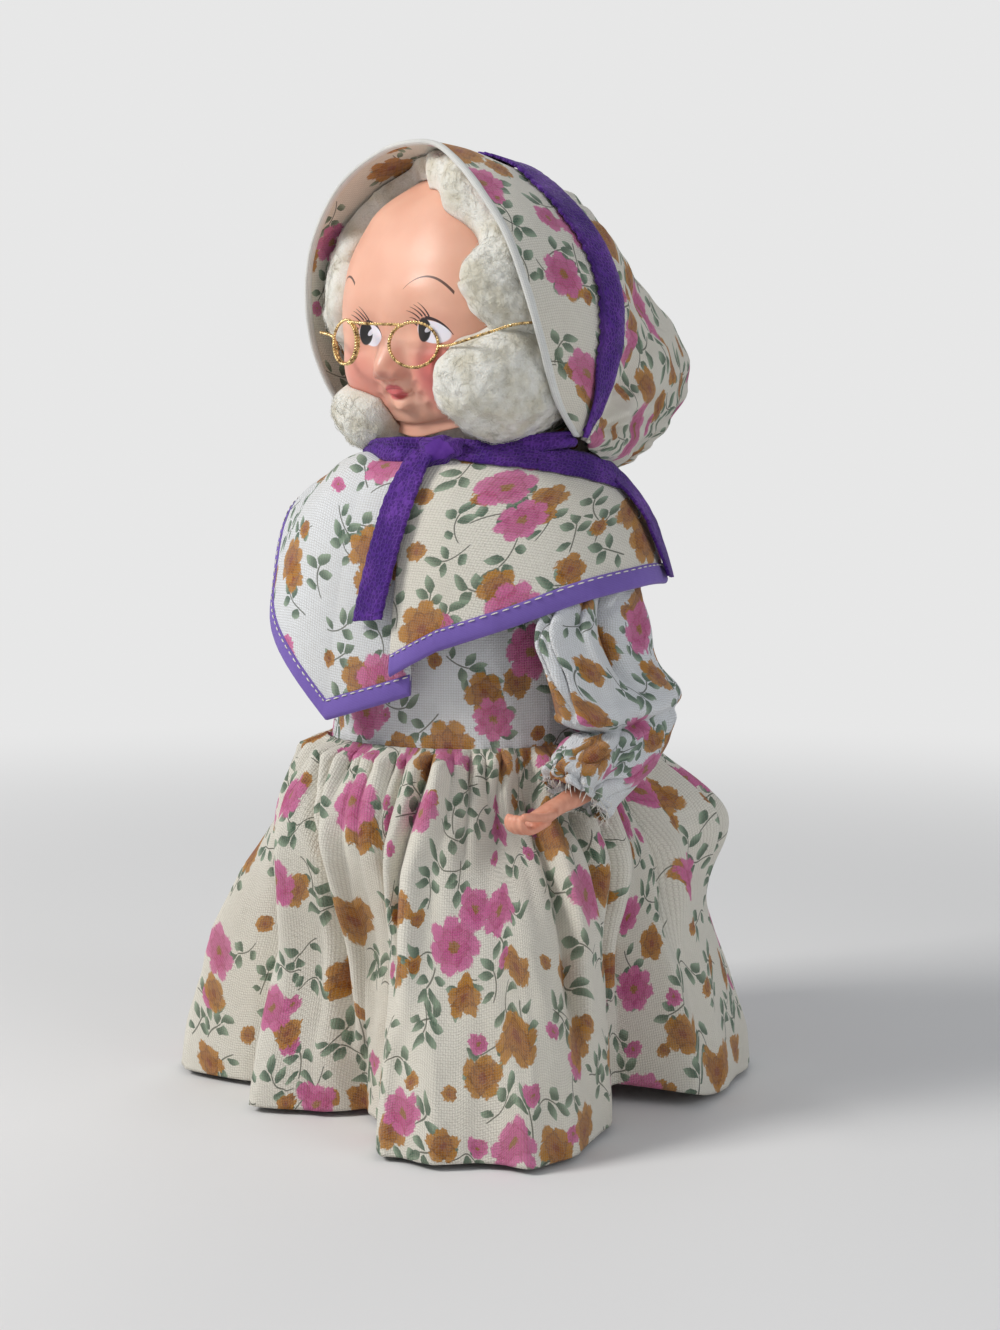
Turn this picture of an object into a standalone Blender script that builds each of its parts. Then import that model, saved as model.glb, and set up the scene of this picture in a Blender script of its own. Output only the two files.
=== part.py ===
"""Craft granny doll: foam body, moulded face, cotton hair, floral dress, cape collar and bonnet.

Frame: metres, +Z up, origin at the centre of the base disc's underside.
The doll faces -Y and its left hand is at +X. Angles round the body are measured from its front
towards its left.
"""
import math

import bmesh
import bpy
from mathutils import Matrix, Vector

# Clearances and cloth
FIT_GAP = 0.0003
SEAT_GAP = 0.0006
LAYER_GAP = 0.0011
CLOTH = 0.0012
UP = Vector((0.0, 0.0, 1.0))

# Base and body
BASE_RADIUS = 0.046
BASE_HEIGHT = 0.005
BASE_EDGE = 0.0012
CORE_RADIUS = 0.0405
WAIST_HEIGHT = 0.1135
TORSO_LENGTH = 0.0765
# Foam outline above the waist: radius as a share of the core's, height as a share of the torso's
TORSO_SHARES = ((1.0, 0.0), (0.983, 0.425), (0.852, 0.7255), (0.654, 1.0))
BODICE_THICKNESS = 0.0035
BODICE_RADIUS = CORE_RADIUS + BODICE_THICKNESS
CORE_TOP_RADIUS = CORE_RADIUS * TORSO_SHARES[-1][0]
CORE_TOP_HEIGHT = WAIST_HEIGHT + TORSO_LENGTH

# Neck
NECK_STAND_HEIGHT = 0.0132
NECKLINE_SHARE = 0.34
NECK_STAND_RADIUS = CORE_TOP_RADIUS + BODICE_THICKNESS
NECK_STAND_TOP = CORE_TOP_HEIGHT + NECK_STAND_HEIGHT
NECKLINE_RADIUS = NECK_STAND_RADIUS + CLOTH * 1.5 + SEAT_GAP
NECKLINE_HEIGHT = CORE_TOP_HEIGHT + NECK_STAND_HEIGHT * NECKLINE_SHARE
SNAP_ANGLE = 140.0
SNAP_RADIUS = 0.0018
SNAP_DEPTH = 0.0014
DOWEL_RADIUS = 0.006
DOWEL_DEPTH = 0.042
DOWEL_INTO_HEAD = 0.030

# Skirt
HEM_RADIUS = 0.0925
HEM_HEIGHT = CLOTH
WAIST_RADIUS = BODICE_RADIUS + CLOTH
VALLEY_CLEARANCE = 0.0032
VALLEY_RADIUS = BASE_RADIUS + VALLEY_CLEARANCE
# Bell outline: share of the way down from waist to hem, and share of the way out to the hem's radius
BELL_SHARES = ((0.0, 0.0), (0.085, 0.175), (0.19, 0.365), (0.335, 0.515), (0.51, 0.66), (0.71, 0.83),
               (0.87, 0.96), (1.0, 1.0))
FOLD_DEPTH_SHARE = 0.85
# Fold table: angle from the front in degrees, and how far out the hem reaches as a share of the lobe
FOLD_SHARES = ((-175, 0.30), (-165, 0.95), (-148, 0.90), (-138, 0.22), (-122, 0.95), (-98, 1.0),
               (-84, 0.25), (-70, 0.95), (-48, 1.02), (-34, 0.30), (-19, 0.60), (-6, 0.32), (5, 0.0),
               (17, 0.12), (27, 0.84), (44, 0.90), (56, 1.0), (80, 0.50), (94, 0.06), (104, 0.08),
               (110, 0.62), (124, 0.78), (148, 1.05), (160, 0.86), (172, 0.32))
# The skirt is drawn in beside the forearms, between these shares of the waist's height
ARM_DENT_DROP = 0.017
ARM_DENT_FOOT_SHARE = 0.485
ARM_DENT_FULL_SHARE = 0.793
ARM_DENT_ANGLE = 98.0
ARM_DENT_HALF_ANGLE = 62.0
ARM_DENT_FADE_ANGLE = 22.0

# Collar: each half's lower edge from front to back as an angle, a share of the way out from the
# neckline to the collar's reach, and a share of its drop
COLLAR_STAND_OFF = 0.0200
COLLAR_REACH = BODICE_RADIUS + COLLAR_STAND_OFF
COLLAR_DROP = 0.0730
LEFT_EDGE_SHARES = ((17.5, 0.587, 0.815), (34.0, 0.635, 0.705), (56.0, 0.698, 0.610),
                    (80.0, 0.794, 0.507), (104.0, 0.889, 0.459), (124.0, 1.0, 0.473))
RIGHT_EDGE_SHARES = ((23.0, 0.524, 0.884), (-5.0, 0.778, 1.0), (-22.0, 0.937, 0.774),
                     (-48.0, 0.968, 0.527), (-78.0, 0.873, 0.144), (-124.0, 0.810, 0.253))
LEFT_NECK_FRONT = 20.0
RIGHT_NECK_FRONT = 28.0
NECK_BACK = 165.0
LAP_LIFT = CLOTH + SEAT_GAP
DRAPE_TURN = 68.0
STRAIGHT_DROP_SHARE = 0.85
BINDING_WIDTH = 0.0068
BINDING_THICKNESS = 0.0017

# Head, with its own centre
HEAD_HALF_WIDTH = 0.0340
HEAD_HALF_DEPTH = 0.0335
HEAD_HALF_HEIGHT = 0.0405
HEAD_LIFT = 0.0013
HEAD_RISE = 0.0425
HEAD_FORWARD = 0.002
MASK_WALL = 0.0020
MASK_SEAT = 0.0016
HEAD_PIVOT_HEIGHT = NECK_STAND_TOP + HEAD_LIFT
HEAD_CENTRE = Vector((0.0, -HEAD_FORWARD, HEAD_PIVOT_HEIGHT + HEAD_RISE))
FACE_RADII = Vector((HEAD_HALF_WIDTH, HEAD_HALF_DEPTH, HEAD_HALF_HEIGHT))
BALL_RADII = FACE_RADII - Vector((MASK_WALL + MASK_SEAT,) * 3)
PLUG_RADIUS = 0.0140
FACE_HALF_ANGLE = 82.0
CHIN_CUT_ANGLE = 20.0
NOSE_REACH = 0.0065
NOSE_DROP = 0.0120
NOSE_SPREAD = 0.0060
CHIN_REACH = 0.0075
CHIN_DROP = 0.0310
CHEEK_REACH = 0.0030
CHEEK_DROP = 0.0200
CHEEK_OUT = 0.0210
CHEEK_SPREAD = 0.0105

# Cotton wool pads
PAD_FULLNESS = 0.38
TOP_SWELL = 0.0085
SIDE_SWELL = 0.0100
JAW_SWELL = 0.0135
NAPE_SWELL = 0.0110

# Bonnet: a folding hood whose hoops all start at two tips
BONNET_SIDE_ROOM = 0.0090
BONNET_TOP_ROOM = 0.0025
BONNET_BULGE = 0.0040
TIP_BACK = 0.004
TIP_RISE = 0.0010
TIP_HALF_WIDTH = HEAD_HALF_WIDTH + BONNET_SIDE_ROOM
TIP_Z = HEAD_PIVOT_HEIGHT + TIP_RISE
HOOD_HALF_WIDTH = TIP_HALF_WIDTH + BONNET_BULGE
HOOD_HEIGHT = HEAD_CENTRE.z + HEAD_HALF_HEIGHT - TIP_Z + BONNET_TOP_ROOM
# Hoops by their angle back from upright, with their reach as a share of the hood's height
HOOP_SHARES = ((-30.0, 1.231), (0.0, 1.0), (20.0, 0.988), (40.0, 1.018), (56.0, 1.041), (70.0, 0.994),
               (84.0, 0.828), (96.0, 0.568))
CROWN_WIDTH_SHARE = 0.85
HOOP_END_SHARE = 0.96
HOOD_SQUARENESS = 3.0
EDGE_TOP_ANGLE = -17.0
EDGE_LOW_ANGLE = -52.0
SEAM_TOP_ANGLE = 0.0
SEAM_LOW_ANGLE = 32.0
SEAM_GAP_ANGLE = 0.56
NAPE_ANGLE = 96.0
BAND_ANGLE = 7.0

# Ribbon tie
RIBBON_WIDTH = 0.0100
RIBBON_THICKNESS = 0.0010
TIE_EASE = 0.0033
TIE_DROP = 0.0027
TIE_BAND_HEIGHT = 0.0055
TIE_RADIUS = NECK_STAND_RADIUS + TIE_EASE
TIE_HEIGHT = NECK_STAND_TOP - TIE_DROP
TIE_FLARE_START = 74.0
TIE_END_ANGLE = 92.0
KNOT_ANGLE = 30.0
KNOT_WIDTH = 0.0175
KNOT_DEPTH = 0.0055
KNOT_HEIGHT = 0.0085
RIBBON_LIFT = (CLOTH + RIBBON_THICKNESS) / 2.0 + FIT_GAP * 3.0

# Spectacles
WIRE_RADIUS = 0.0006
RING_RADIUS = 0.0068
RING_HALF_SPACING = 0.0160
RING_STAND_OFF = 0.0070
RING_DROP = 0.0130
RING_PITCH = 0.0017
TEMPLE_CLEARANCE = 0.0036
TEMPLE_LENGTH = 0.0275
TEMPLE_RISE = 0.0060
RING_Y = HEAD_CENTRE.y - HEAD_HALF_DEPTH - RING_STAND_OFF
RING_HEIGHT = HEAD_CENTRE.z - RING_DROP
TEMPLE_SPREAD = HOOD_HALF_WIDTH - TEMPLE_CLEARANCE
# Temple points from its end to the ring: shares of its spread, its length and its rise
TEMPLE_SHARES = ((1.0, 1.0, 1.0), (1.0, 0.67, 0.7), (0.70, 0.36, 0.4), (0.10, 0.13, 0.1))

# Arms
SHOULDER_STAND_OFF = 0.0072
SHOULDER_BACK = 0.010
SHOULDER_DROP = 0.027
SHOULDER_X = BODICE_RADIUS + SHOULDER_STAND_OFF
SHOULDER_Z = CORE_TOP_HEIGHT - SHOULDER_DROP
PIN_RADIUS = 0.0016
PIN_LENGTH = 0.0252
ARM_LENGTH = 0.100
ARM_RADIUS = 0.0036
SHOULDER_PAD_RADIUS = 0.0021
WRIST_WIRE_LENGTH = 0.008
WRIST_WIRE_RADIUS = 0.0010
HAND_LENGTH = 0.030
HAND_WRIST_RADIUS = 0.0042
SLEEVE_CLOTH = 0.0010

# Sleeve sections from shoulder to cuff, all as shares of the arm's length and measured from the
# shoulder joint: out to its middle, half thickness, front (back, up), rear (back, up)
SLEEVE_TOP_SHARES = (
    (-0.010, 0.018, (-0.060, 0.060), (0.050, 0.062)),
    (-0.006, 0.032, (-0.110, 0.025), (0.100, 0.030)),
)
LEFT_SLEEVE_SHARES = SLEEVE_TOP_SHARES + (
    (0.004, 0.045, (-0.175, -0.050), (0.140, -0.045)),
    (0.023, 0.068, (-0.240, -0.150), (0.165, -0.140)),
    (0.043, 0.085, (-0.250, -0.270), (0.200, -0.240)),
    (0.060, 0.095, (-0.230, -0.390), (0.270, -0.355)),
    (0.073, 0.098, (-0.235, -0.430), (0.245, -0.500)),
    (0.090, 0.098, (-0.270, -0.465), (0.140, -0.635)),
    (0.100, 0.090, (-0.305, -0.495), (0.010, -0.695)),
    (0.100, 0.074, (-0.325, -0.535), (-0.110, -0.685)),
    (0.088, 0.100, (-0.400, -0.530), (-0.120, -0.740)),
)
RIGHT_SLEEVE_SHARES = SLEEVE_TOP_SHARES + (
    (0.004, 0.045, (-0.160, -0.050), (0.150, -0.045)),
    (0.023, 0.068, (-0.200, -0.150), (0.190, -0.140)),
    (0.043, 0.085, (-0.180, -0.270), (0.250, -0.240)),
    (0.060, 0.095, (-0.130, -0.380), (0.340, -0.340)),
    (0.083, 0.098, (-0.095, -0.440), (0.340, -0.480)),
    (0.108, 0.096, (-0.085, -0.500), (0.280, -0.640)),
    (0.133, 0.088, (-0.080, -0.565), (0.185, -0.725)),
    (0.156, 0.072, (-0.065, -0.620), (0.100, -0.750)),
    (0.170, 0.098, (-0.115, -0.655), (0.090, -0.830)),
)
# Hand outline: share of its length, width and thickness as shares of the wrist radius
HAND_SHARES = ((0.0, 1.0, 1.0), (0.25, 0.88, 0.82), (0.45, 0.95, 0.78), (0.62, 1.22, 0.80),
               (0.80, 1.15, 0.72), (0.94, 0.85, 0.60), (1.0, 0.45, 0.35))


def clear_scene():
    """Remove the objects of the start file."""
    for item in list(bpy.data.objects):
        bpy.data.objects.remove(item, do_unlink=True)


def material(name, colour, roughness, metallic=0.0):
    """Make a plain Principled material."""
    made = bpy.data.materials.new(name)
    made.use_nodes = True
    shader = made.node_tree.nodes["Principled BSDF"]
    shader.inputs["Base Color"].default_value = (*colour, 1.0)
    shader.inputs["Roughness"].default_value = roughness
    shader.inputs["Metallic"].default_value = metallic
    return made


def add_mesh(name, points, faces, finish, smooth=True):
    """Make one object from points and faces, with the faces turned outwards."""
    mesh = bpy.data.meshes.new(name)
    mesh.from_pydata([tuple(point) for point in points], [], faces)
    work = bmesh.new()
    work.from_mesh(mesh)
    bmesh.ops.recalc_face_normals(work, faces=work.faces)
    work.to_mesh(mesh)
    work.free()
    mesh.materials.append(finish)
    if smooth:
        mesh.shade_smooth()
    made = bpy.data.objects.new(name, mesh)
    bpy.context.collection.objects.link(made)
    return made


def grid_faces(rows, columns, closed):
    """Quads of a grid of points, wrapped along its columns when it is closed."""
    faces = []
    last = columns if closed else columns - 1
    for row in range(rows - 1):
        for column in range(last):
            after = (column + 1) % columns
            low = row * columns
            high = low + columns
            faces.append((low + column, low + after, high + after, high + column))
    return faces


def sheet(name, grid, thickness, finish, closed=False):
    """Make a cloth sheet of even thickness from rows of points on its middle surface."""
    columns = len(grid[0])
    points = [point for row in grid for point in row]
    made = add_mesh(name, points, grid_faces(len(grid), columns, closed), finish)
    solid = made.modifiers.new("Thickness", "SOLIDIFY")
    solid.thickness = thickness
    solid.offset = 0.0
    solid.use_even_offset = False
    return made


def loft(name, rings, finish):
    """Make a closed solid through rings of points, capped at both ends."""
    columns = len(rings[0])
    points = [point for ring in rings for point in ring]
    faces = grid_faces(len(rings), columns, True)
    faces.append(tuple(range(columns - 1, -1, -1)))
    start = (len(rings) - 1) * columns
    faces.append(tuple(range(start, start + columns)))
    return add_mesh(name, points, faces, finish)


def turned(name, outline, finish, sides):
    """Turn an outline of (radius, height) pairs round Z, capped at both ends."""
    rings = []
    for radius, height in outline:
        rings.append([polar(360.0 * step / sides, radius, height) for step in range(sides)])
    return loft(name, rings, finish)


def turned_ring(name, outline, finish, sides):
    """Turn a closed outline that stays clear of the axis."""
    points = []
    for radius, height in outline:
        points += [polar(360.0 * step / sides, radius, height) for step in range(sides)]
    faces = grid_faces(len(outline), sides, True)
    last = (len(outline) - 1) * sides
    for column in range(sides):
        after = (column + 1) % sides
        faces.append((last + column, last + after, after, column))
    return add_mesh(name, points, faces, finish)


def polar(angle, radius, height):
    """Point at an angle from the doll's front towards its left."""
    turn = math.radians(angle)
    return Vector((radius * math.sin(turn), -radius * math.cos(turn), height))


def blend(low, high, share):
    """Value between two others."""
    return low + (high - low) * share


def smooth_step(share):
    """Ease in and out between 0 and 1."""
    held = min(max(share, 0.0), 1.0)
    return held * held * (3.0 - 2.0 * held)


def table(pairs, place):
    """Read a table of rising places, eased between its entries."""
    if place <= pairs[0][0]:
        return pairs[0][1]
    for (low, first), (high, second) in zip(pairs, pairs[1:]):
        if place <= high:
            return blend(first, second, smooth_step((place - low) / (high - low)))
    return pairs[-1][1]


def straight_table(pairs, place):
    """Read a table of rising places with straight runs between its entries."""
    if place <= pairs[0][0]:
        return pairs[0][1]
    for (low, first), (high, second) in zip(pairs, pairs[1:]):
        if place <= high:
            return blend(first, second, (place - low) / (high - low))
    return pairs[-1][1]


def wrap(angle):
    """Angle between -180 and 180 degrees."""
    return (angle + 180.0) % 360.0 - 180.0


def drill(target, start, end, radius, label):
    """Cut a round hole from start to end."""
    axis = end - start
    work = bmesh.new()
    bmesh.ops.create_cone(work, cap_ends=True, segments=12, radius1=radius, radius2=radius,
                          depth=axis.length)
    turn = axis.to_track_quat("Z", "Y").to_matrix().to_4x4()
    bmesh.ops.transform(work, matrix=Matrix.Translation((start + end) / 2.0) @ turn, verts=work.verts)
    mesh = bpy.data.meshes.new(label)
    work.to_mesh(mesh)
    work.free()
    cutter = bpy.data.objects.new(label, mesh)
    bpy.context.collection.objects.link(cutter)
    cutter.hide_render = True
    cutter.display_type = "WIRE"
    cut = target.modifiers.new(label, "BOOLEAN")
    cut.operation = "DIFFERENCE"
    cut.object = cutter


def pivot(name, place):
    """Empty on a joint's axis, which carries the moving pieces."""
    made = bpy.data.objects.new(name, None)
    made.location = place
    made.empty_display_size = ARM_RADIUS
    bpy.context.collection.objects.link(made)
    return made


def carry(carrier, pieces):
    """Parent pieces to an empty without moving them."""
    bpy.context.view_layer.update()
    for piece in pieces:
        piece.parent = carrier
        piece.matrix_parent_inverse = carrier.matrix_world.inverted()


# Body

def torso_outline():
    """Outline of the foam from the waist to its top."""
    return [(CORE_RADIUS * out, WAIST_HEIGHT + TORSO_LENGTH * up) for out, up in TORSO_SHARES]


def build_base(finish):
    """Disc that the doll stands on."""
    return turned("base_disc", [(BASE_RADIUS - BASE_EDGE, 0.0), (BASE_RADIUS, BASE_EDGE),
                                (BASE_RADIUS, BASE_HEIGHT - BASE_EDGE),
                                (BASE_RADIUS - BASE_EDGE, BASE_HEIGHT)], finish, 48)


def build_core(finish):
    """Foam body with the dowel's bore in its top."""
    bore = DOWEL_RADIUS + FIT_GAP
    outline = [(CORE_RADIUS, BASE_HEIGHT + FIT_GAP)] + torso_outline()
    outline.append((bore, CORE_TOP_HEIGHT))
    outline.append((bore, CORE_TOP_HEIGHT - DOWEL_DEPTH - FIT_GAP))
    return turned("body_core", outline, finish, 32)


def build_dowel(finish):
    """Post that the head turns on."""
    edge = DOWEL_RADIUS / 6.0
    bottom = CORE_TOP_HEIGHT - DOWEL_DEPTH
    top = HEAD_PIVOT_HEIGHT + DOWEL_INTO_HEAD
    return turned("neck_dowel", [(DOWEL_RADIUS - edge, bottom), (DOWEL_RADIUS, bottom + edge),
                                 (DOWEL_RADIUS, top - edge), (DOWEL_RADIUS - edge, top)], finish, 20)


def build_bodice(finish):
    """Upper part of the dress, a fitted ring round the foam with a standing neck."""
    outline = torso_outline()
    inner = [(radius + FIT_GAP, height + FIT_GAP) for radius, height in outline]
    outer = [(radius + BODICE_THICKNESS, height + FIT_GAP) for radius, height in outline[:-1]]
    neck_inner = DOWEL_RADIUS + FIT_GAP
    rise = [(NECK_STAND_RADIUS + CLOTH, NECKLINE_HEIGHT - CLOTH), (NECK_STAND_RADIUS, NECK_STAND_TOP)]
    top = [(neck_inner, NECK_STAND_TOP), (neck_inner, CORE_TOP_HEIGHT + FIT_GAP)]
    return turned_ring("bodice", outer + rise + top + inner[::-1], finish, 36)


def skirt_radius(angle, height):
    """Radius of the skirt's middle surface, with folds that open towards the hem."""
    side = abs(abs(wrap(angle)) - ARM_DENT_ANGLE)
    dent = smooth_step((ARM_DENT_HALF_ANGLE - side) / ARM_DENT_FADE_ANGLE)
    span_share = ARM_DENT_FULL_SHARE - ARM_DENT_FOOT_SHARE
    dent *= smooth_step((height / WAIST_HEIGHT - ARM_DENT_FOOT_SHARE) / span_share)
    length = WAIST_HEIGHT - HEM_HEIGHT
    down = (WAIST_HEIGHT - height) / length
    bell = straight_table(BELL_SHARES, down - ARM_DENT_DROP * dent / length)
    lobe = blend(WAIST_RADIUS, HEM_RADIUS, bell)
    first, last = FOLD_SHARES[0], FOLD_SHARES[-1]
    around = [(last[0] - 360.0, last[1])] + list(FOLD_SHARES) + [(first[0] + 360.0, first[1])]
    fold = straight_table(around, wrap(angle))
    valley = blend(WAIST_RADIUS, VALLEY_RADIUS, down)
    return blend(lobe, blend(valley, lobe, fold), smooth_step(down / FOLD_DEPTH_SHARE))


def build_skirt(finish):
    """Gathered skirt with its main folds."""
    sides = 66
    grid = []
    for down, _ in BELL_SHARES:
        height = blend(WAIST_HEIGHT, HEM_HEIGHT, down)
        row = []
        for step in range(sides):
            angle = 360.0 * step / sides
            row.append(polar(angle, skirt_radius(angle, height), height))
        grid.append(row)
    return sheet("skirt", grid, CLOTH, finish, closed=True)


def collar_point(half, along, down, lift=0.0):
    """Point of a collar half: along it from front to back, down it from neck to edge."""
    edge, front, back = half
    places = [(index / (len(edge) - 1), entry) for index, entry in enumerate(edge)]
    angle = straight_table([(place, entry[0]) for place, entry in places], along)
    out_share = table([(place, entry[1]) for place, entry in places], along)
    drop_share = table([(place, entry[2]) for place, entry in places], along)
    radius = blend(NECKLINE_RADIUS, COLLAR_REACH, out_share)
    height = NECKLINE_HEIGHT - COLLAR_DROP * drop_share
    neck_angle = blend(front, back, (angle - edge[0][0]) / (edge[-1][0] - edge[0][0]))
    full = math.radians(DRAPE_TURN)
    turn = down * full
    out = math.sin(turn) / math.sin(full)
    up = (math.cos(turn) - math.cos(full)) / (1.0 - math.cos(full))
    around = blend(neck_angle, angle, smooth_step(down / STRAIGHT_DROP_SHARE))
    reach = blend(NECKLINE_RADIUS, radius, out)
    level = blend(height, NECKLINE_HEIGHT, up)
    return polar(around, reach + lift * math.sin(turn), level + lift * math.cos(turn))


def down_above_edge(half, along, distance):
    """How far down a collar half a place lies that is a given distance above its lower edge."""
    hem = collar_point(half, along, 1.0)
    low, high = 0.0, 1.0
    for _ in range(20):
        middle = (low + high) / 2.0
        if (collar_point(half, along, middle) - hem).length > distance:
            low = middle
        else:
            high = middle
    return high


def build_collar(side, half, lift, cloth, tape):
    """One half of the cape collar and the binding along its lower edge."""
    rows, columns = 5, 19
    places = [column / (columns - 1) for column in range(columns)]
    stops = [down_above_edge(half, along, BINDING_WIDTH) for along in places]
    grid = [[collar_point(half, along, stop * row / (rows - 1), lift)
             for along, stop in zip(places, stops)] for row in range(rows)]
    sheet("collar_" + side, grid, CLOTH, cloth)
    starts = [down_above_edge(half, along, BINDING_WIDTH - LAYER_GAP) for along in places]
    strip = [[collar_point(half, along, start, lift) for along, start in zip(places, starts)],
             [collar_point(half, along, 1.0, lift) for along in places]]
    sheet("binding_" + side, strip, BINDING_THICKNESS, tape)


def build_snap(finish):
    """Press stud at the back of the neck."""
    level = (NECKLINE_HEIGHT + NECK_STAND_TOP) / 2.0
    foot = NECKLINE_HEIGHT - CLOTH
    share = (level - SNAP_RADIUS - foot) / (NECK_STAND_TOP - foot)
    seat = blend(NECK_STAND_RADIUS + CLOTH, NECK_STAND_RADIUS, share) + FIT_GAP
    outward = polar(SNAP_ANGLE, 1.0, 0.0)
    side = UP.cross(outward)
    centre = outward * seat + UP * level
    rings = []
    for depth, width in ((0.0, 1.0), (0.6, 1.0), (1.0, 0.5)):
        ring = []
        for step in range(12):
            turn = math.tau * step / 12
            spoke = side * math.cos(turn) + UP * math.sin(turn)
            ring.append(centre + outward * SNAP_DEPTH * depth + spoke * SNAP_RADIUS * width)
        rings.append(ring)
    return loft("neck_snap", rings, finish)


# Head

def ellipsoid_reach(direction, radii):
    """Distance from an ellipsoid's centre to its surface along a unit direction."""
    scaled = Vector((direction.x / radii.x, direction.y / radii.y, direction.z / radii.z))
    return 1.0 / scaled.length


def face_reach(direction):
    """Distance from the head's centre to the vinyl face, with nose and chin."""
    reach = ellipsoid_reach(direction, FACE_RADII)
    if direction.y < 0.0:
        point = direction * reach
        nose = math.hypot(point.x / NOSE_SPREAD, (point.z + NOSE_DROP) / (NOSE_SPREAD * 1.3))
        chin = math.hypot(point.x / (NOSE_SPREAD * 2.2), (point.z + CHIN_DROP) / (NOSE_SPREAD * 1.4))
        cheek = math.hypot(abs(point.x) - CHEEK_OUT, point.z + CHEEK_DROP) / CHEEK_SPREAD
        reach += NOSE_REACH * math.exp(-nose * nose) + CHIN_REACH * math.exp(-chin * chin)
        reach += CHEEK_REACH * math.exp(-cheek * cheek)
    return reach


def head_direction(across, up):
    """Unit direction from the head's centre: degrees to the doll's left, and degrees up."""
    side = math.radians(across)
    lift = math.radians(up)
    return Vector((math.sin(side) * math.cos(lift), -math.cos(side) * math.cos(lift), math.sin(lift)))


def build_ball(finish):
    """Foam egg inside the head, bored for the dowel."""
    sides, rows = 20, 10
    floor = HEAD_PIVOT_HEIGHT + FIT_GAP
    rings = [[polar(360.0 * step / sides, PLUG_RADIUS, floor) for step in range(sides)]]
    for row in range(rows + 1):
        up = blend(-66.0, 88.0, row / rows)
        ring = []
        for step in range(sides):
            direction = head_direction(360.0 * step / sides, up)
            ring.append(HEAD_CENTRE + direction * ellipsoid_reach(direction, BALL_RADII))
        rings.append(ring)
    ball = loft("head_ball", rings, finish)
    start = Vector((0.0, 0.0, HEAD_PIVOT_HEIGHT - DOWEL_RADIUS))
    end = Vector((0.0, 0.0, HEAD_PIVOT_HEIGHT + DOWEL_INTO_HEAD + FIT_GAP))
    drill(ball, start, end, DOWEL_RADIUS + FIT_GAP, "dowel_bore")
    return ball


def mask_direction(across_share, up_share):
    """Direction on the mask: an oval cone round the face's axis."""
    turn = math.tau * up_share
    limit = FACE_HALF_ANGLE - CHIN_CUT_ANGLE * max(-math.cos(turn), 0.0) ** 2
    spread = math.radians(limit) * across_share
    return Vector((math.sin(spread) * math.sin(turn), -math.cos(spread), math.sin(spread) * math.cos(turn)))


def build_mask(finish):
    """Moulded vinyl face over the front of the egg."""
    sides = 24
    shares = (0.07, 0.15, 0.25, 0.36, 0.48, 0.60, 0.72, 0.86, 1.0)
    outer = []
    inner = []
    for share in shares:
        for step in range(sides):
            direction = mask_direction(share, step / sides)
            outer.append(HEAD_CENTRE + direction * face_reach(direction))
            inner.append(HEAD_CENTRE + direction * (ellipsoid_reach(direction, BALL_RADII) + MASK_SEAT))
    front = mask_direction(0.0, 0.0)
    points = [HEAD_CENTRE + front * face_reach(front)] + outer
    for row in range(len(shares) - 1, -1, -1):
        points += inner[row * sides:(row + 1) * sides]
    points.append(HEAD_CENTRE + front * (ellipsoid_reach(front, BALL_RADII) + MASK_SEAT))
    rows = len(shares) * 2
    faces = [(0, 1 + (step + 1) % sides, 1 + step) for step in range(sides)]
    for quad in grid_faces(rows, sides, True):
        faces.append(tuple(index + 1 for index in quad))
    last = 1 + (rows - 1) * sides
    end = len(points) - 1
    faces += [(end, last + step, last + (step + 1) % sides) for step in range(sides)]
    return add_mesh("face_mask", points, faces, finish)


def hood_half_width(angle):
    """Half width of the hood's hoop at an angle."""
    share = smooth_step((angle - SEAM_TOP_ANGLE) / 60.0)
    return HOOD_HALF_WIDTH * blend(1.0, CROWN_WIDTH_SHARE, share)


def hood_point(angle, hoop, lift=0.0):
    """Point of the bonnet: the hoop's angle, and -1 to 1 along the hoop from right tip to left tip."""
    reach = HOOD_HEIGHT * table(HOOP_SHARES, angle) + lift
    turn = hoop * math.pi / 2.0
    power = 2.0 / HOOD_SQUARENESS
    height = reach * math.cos(turn) ** power
    side = abs(math.sin(turn)) ** power
    width = blend(TIP_HALF_WIDTH, hood_half_width(angle), smooth_step(2.0 * height / reach)) + lift
    lean = math.radians(angle)
    return Vector((math.copysign(width * side, hoop), TIP_BACK + height * math.sin(lean),
                   TIP_Z + height * math.cos(lean)))


def inside_bonnet(point, clearance):
    """The point, or the nearest place under the bonnet towards its tips."""
    back, up = point.y - TIP_BACK, point.z - TIP_Z
    angle = math.degrees(math.atan2(back, up))
    across = min(abs(point.x) / hood_half_width(angle), 1.0)
    roof = HOOD_HEIGHT * table(HOOP_SHARES, angle) - clearance
    limit = roof * (1.0 - across ** HOOD_SQUARENESS) ** (1.0 / HOOD_SQUARENESS)
    share = min(limit / math.hypot(back, up), 1.0)
    return Vector((point.x, TIP_BACK + back * share, TIP_Z + up * share))


def edge_angle(hoop):
    """Angle of the bonnet's front edge along the hoop."""
    return blend(EDGE_TOP_ANGLE, EDGE_LOW_ANGLE, abs(hoop) ** 1.6)


def seam_angle(hoop):
    """Angle of the crown seam along the hoop."""
    return blend(SEAM_TOP_ANGLE, SEAM_LOW_ANGLE, abs(hoop) ** 1.6)


def hoop_places(count):
    """Places along a hoop that stop just short of the two tips."""
    return [HOOP_END_SHARE * (2.0 * step / (count - 1) - 1.0) for step in range(count)]


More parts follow.
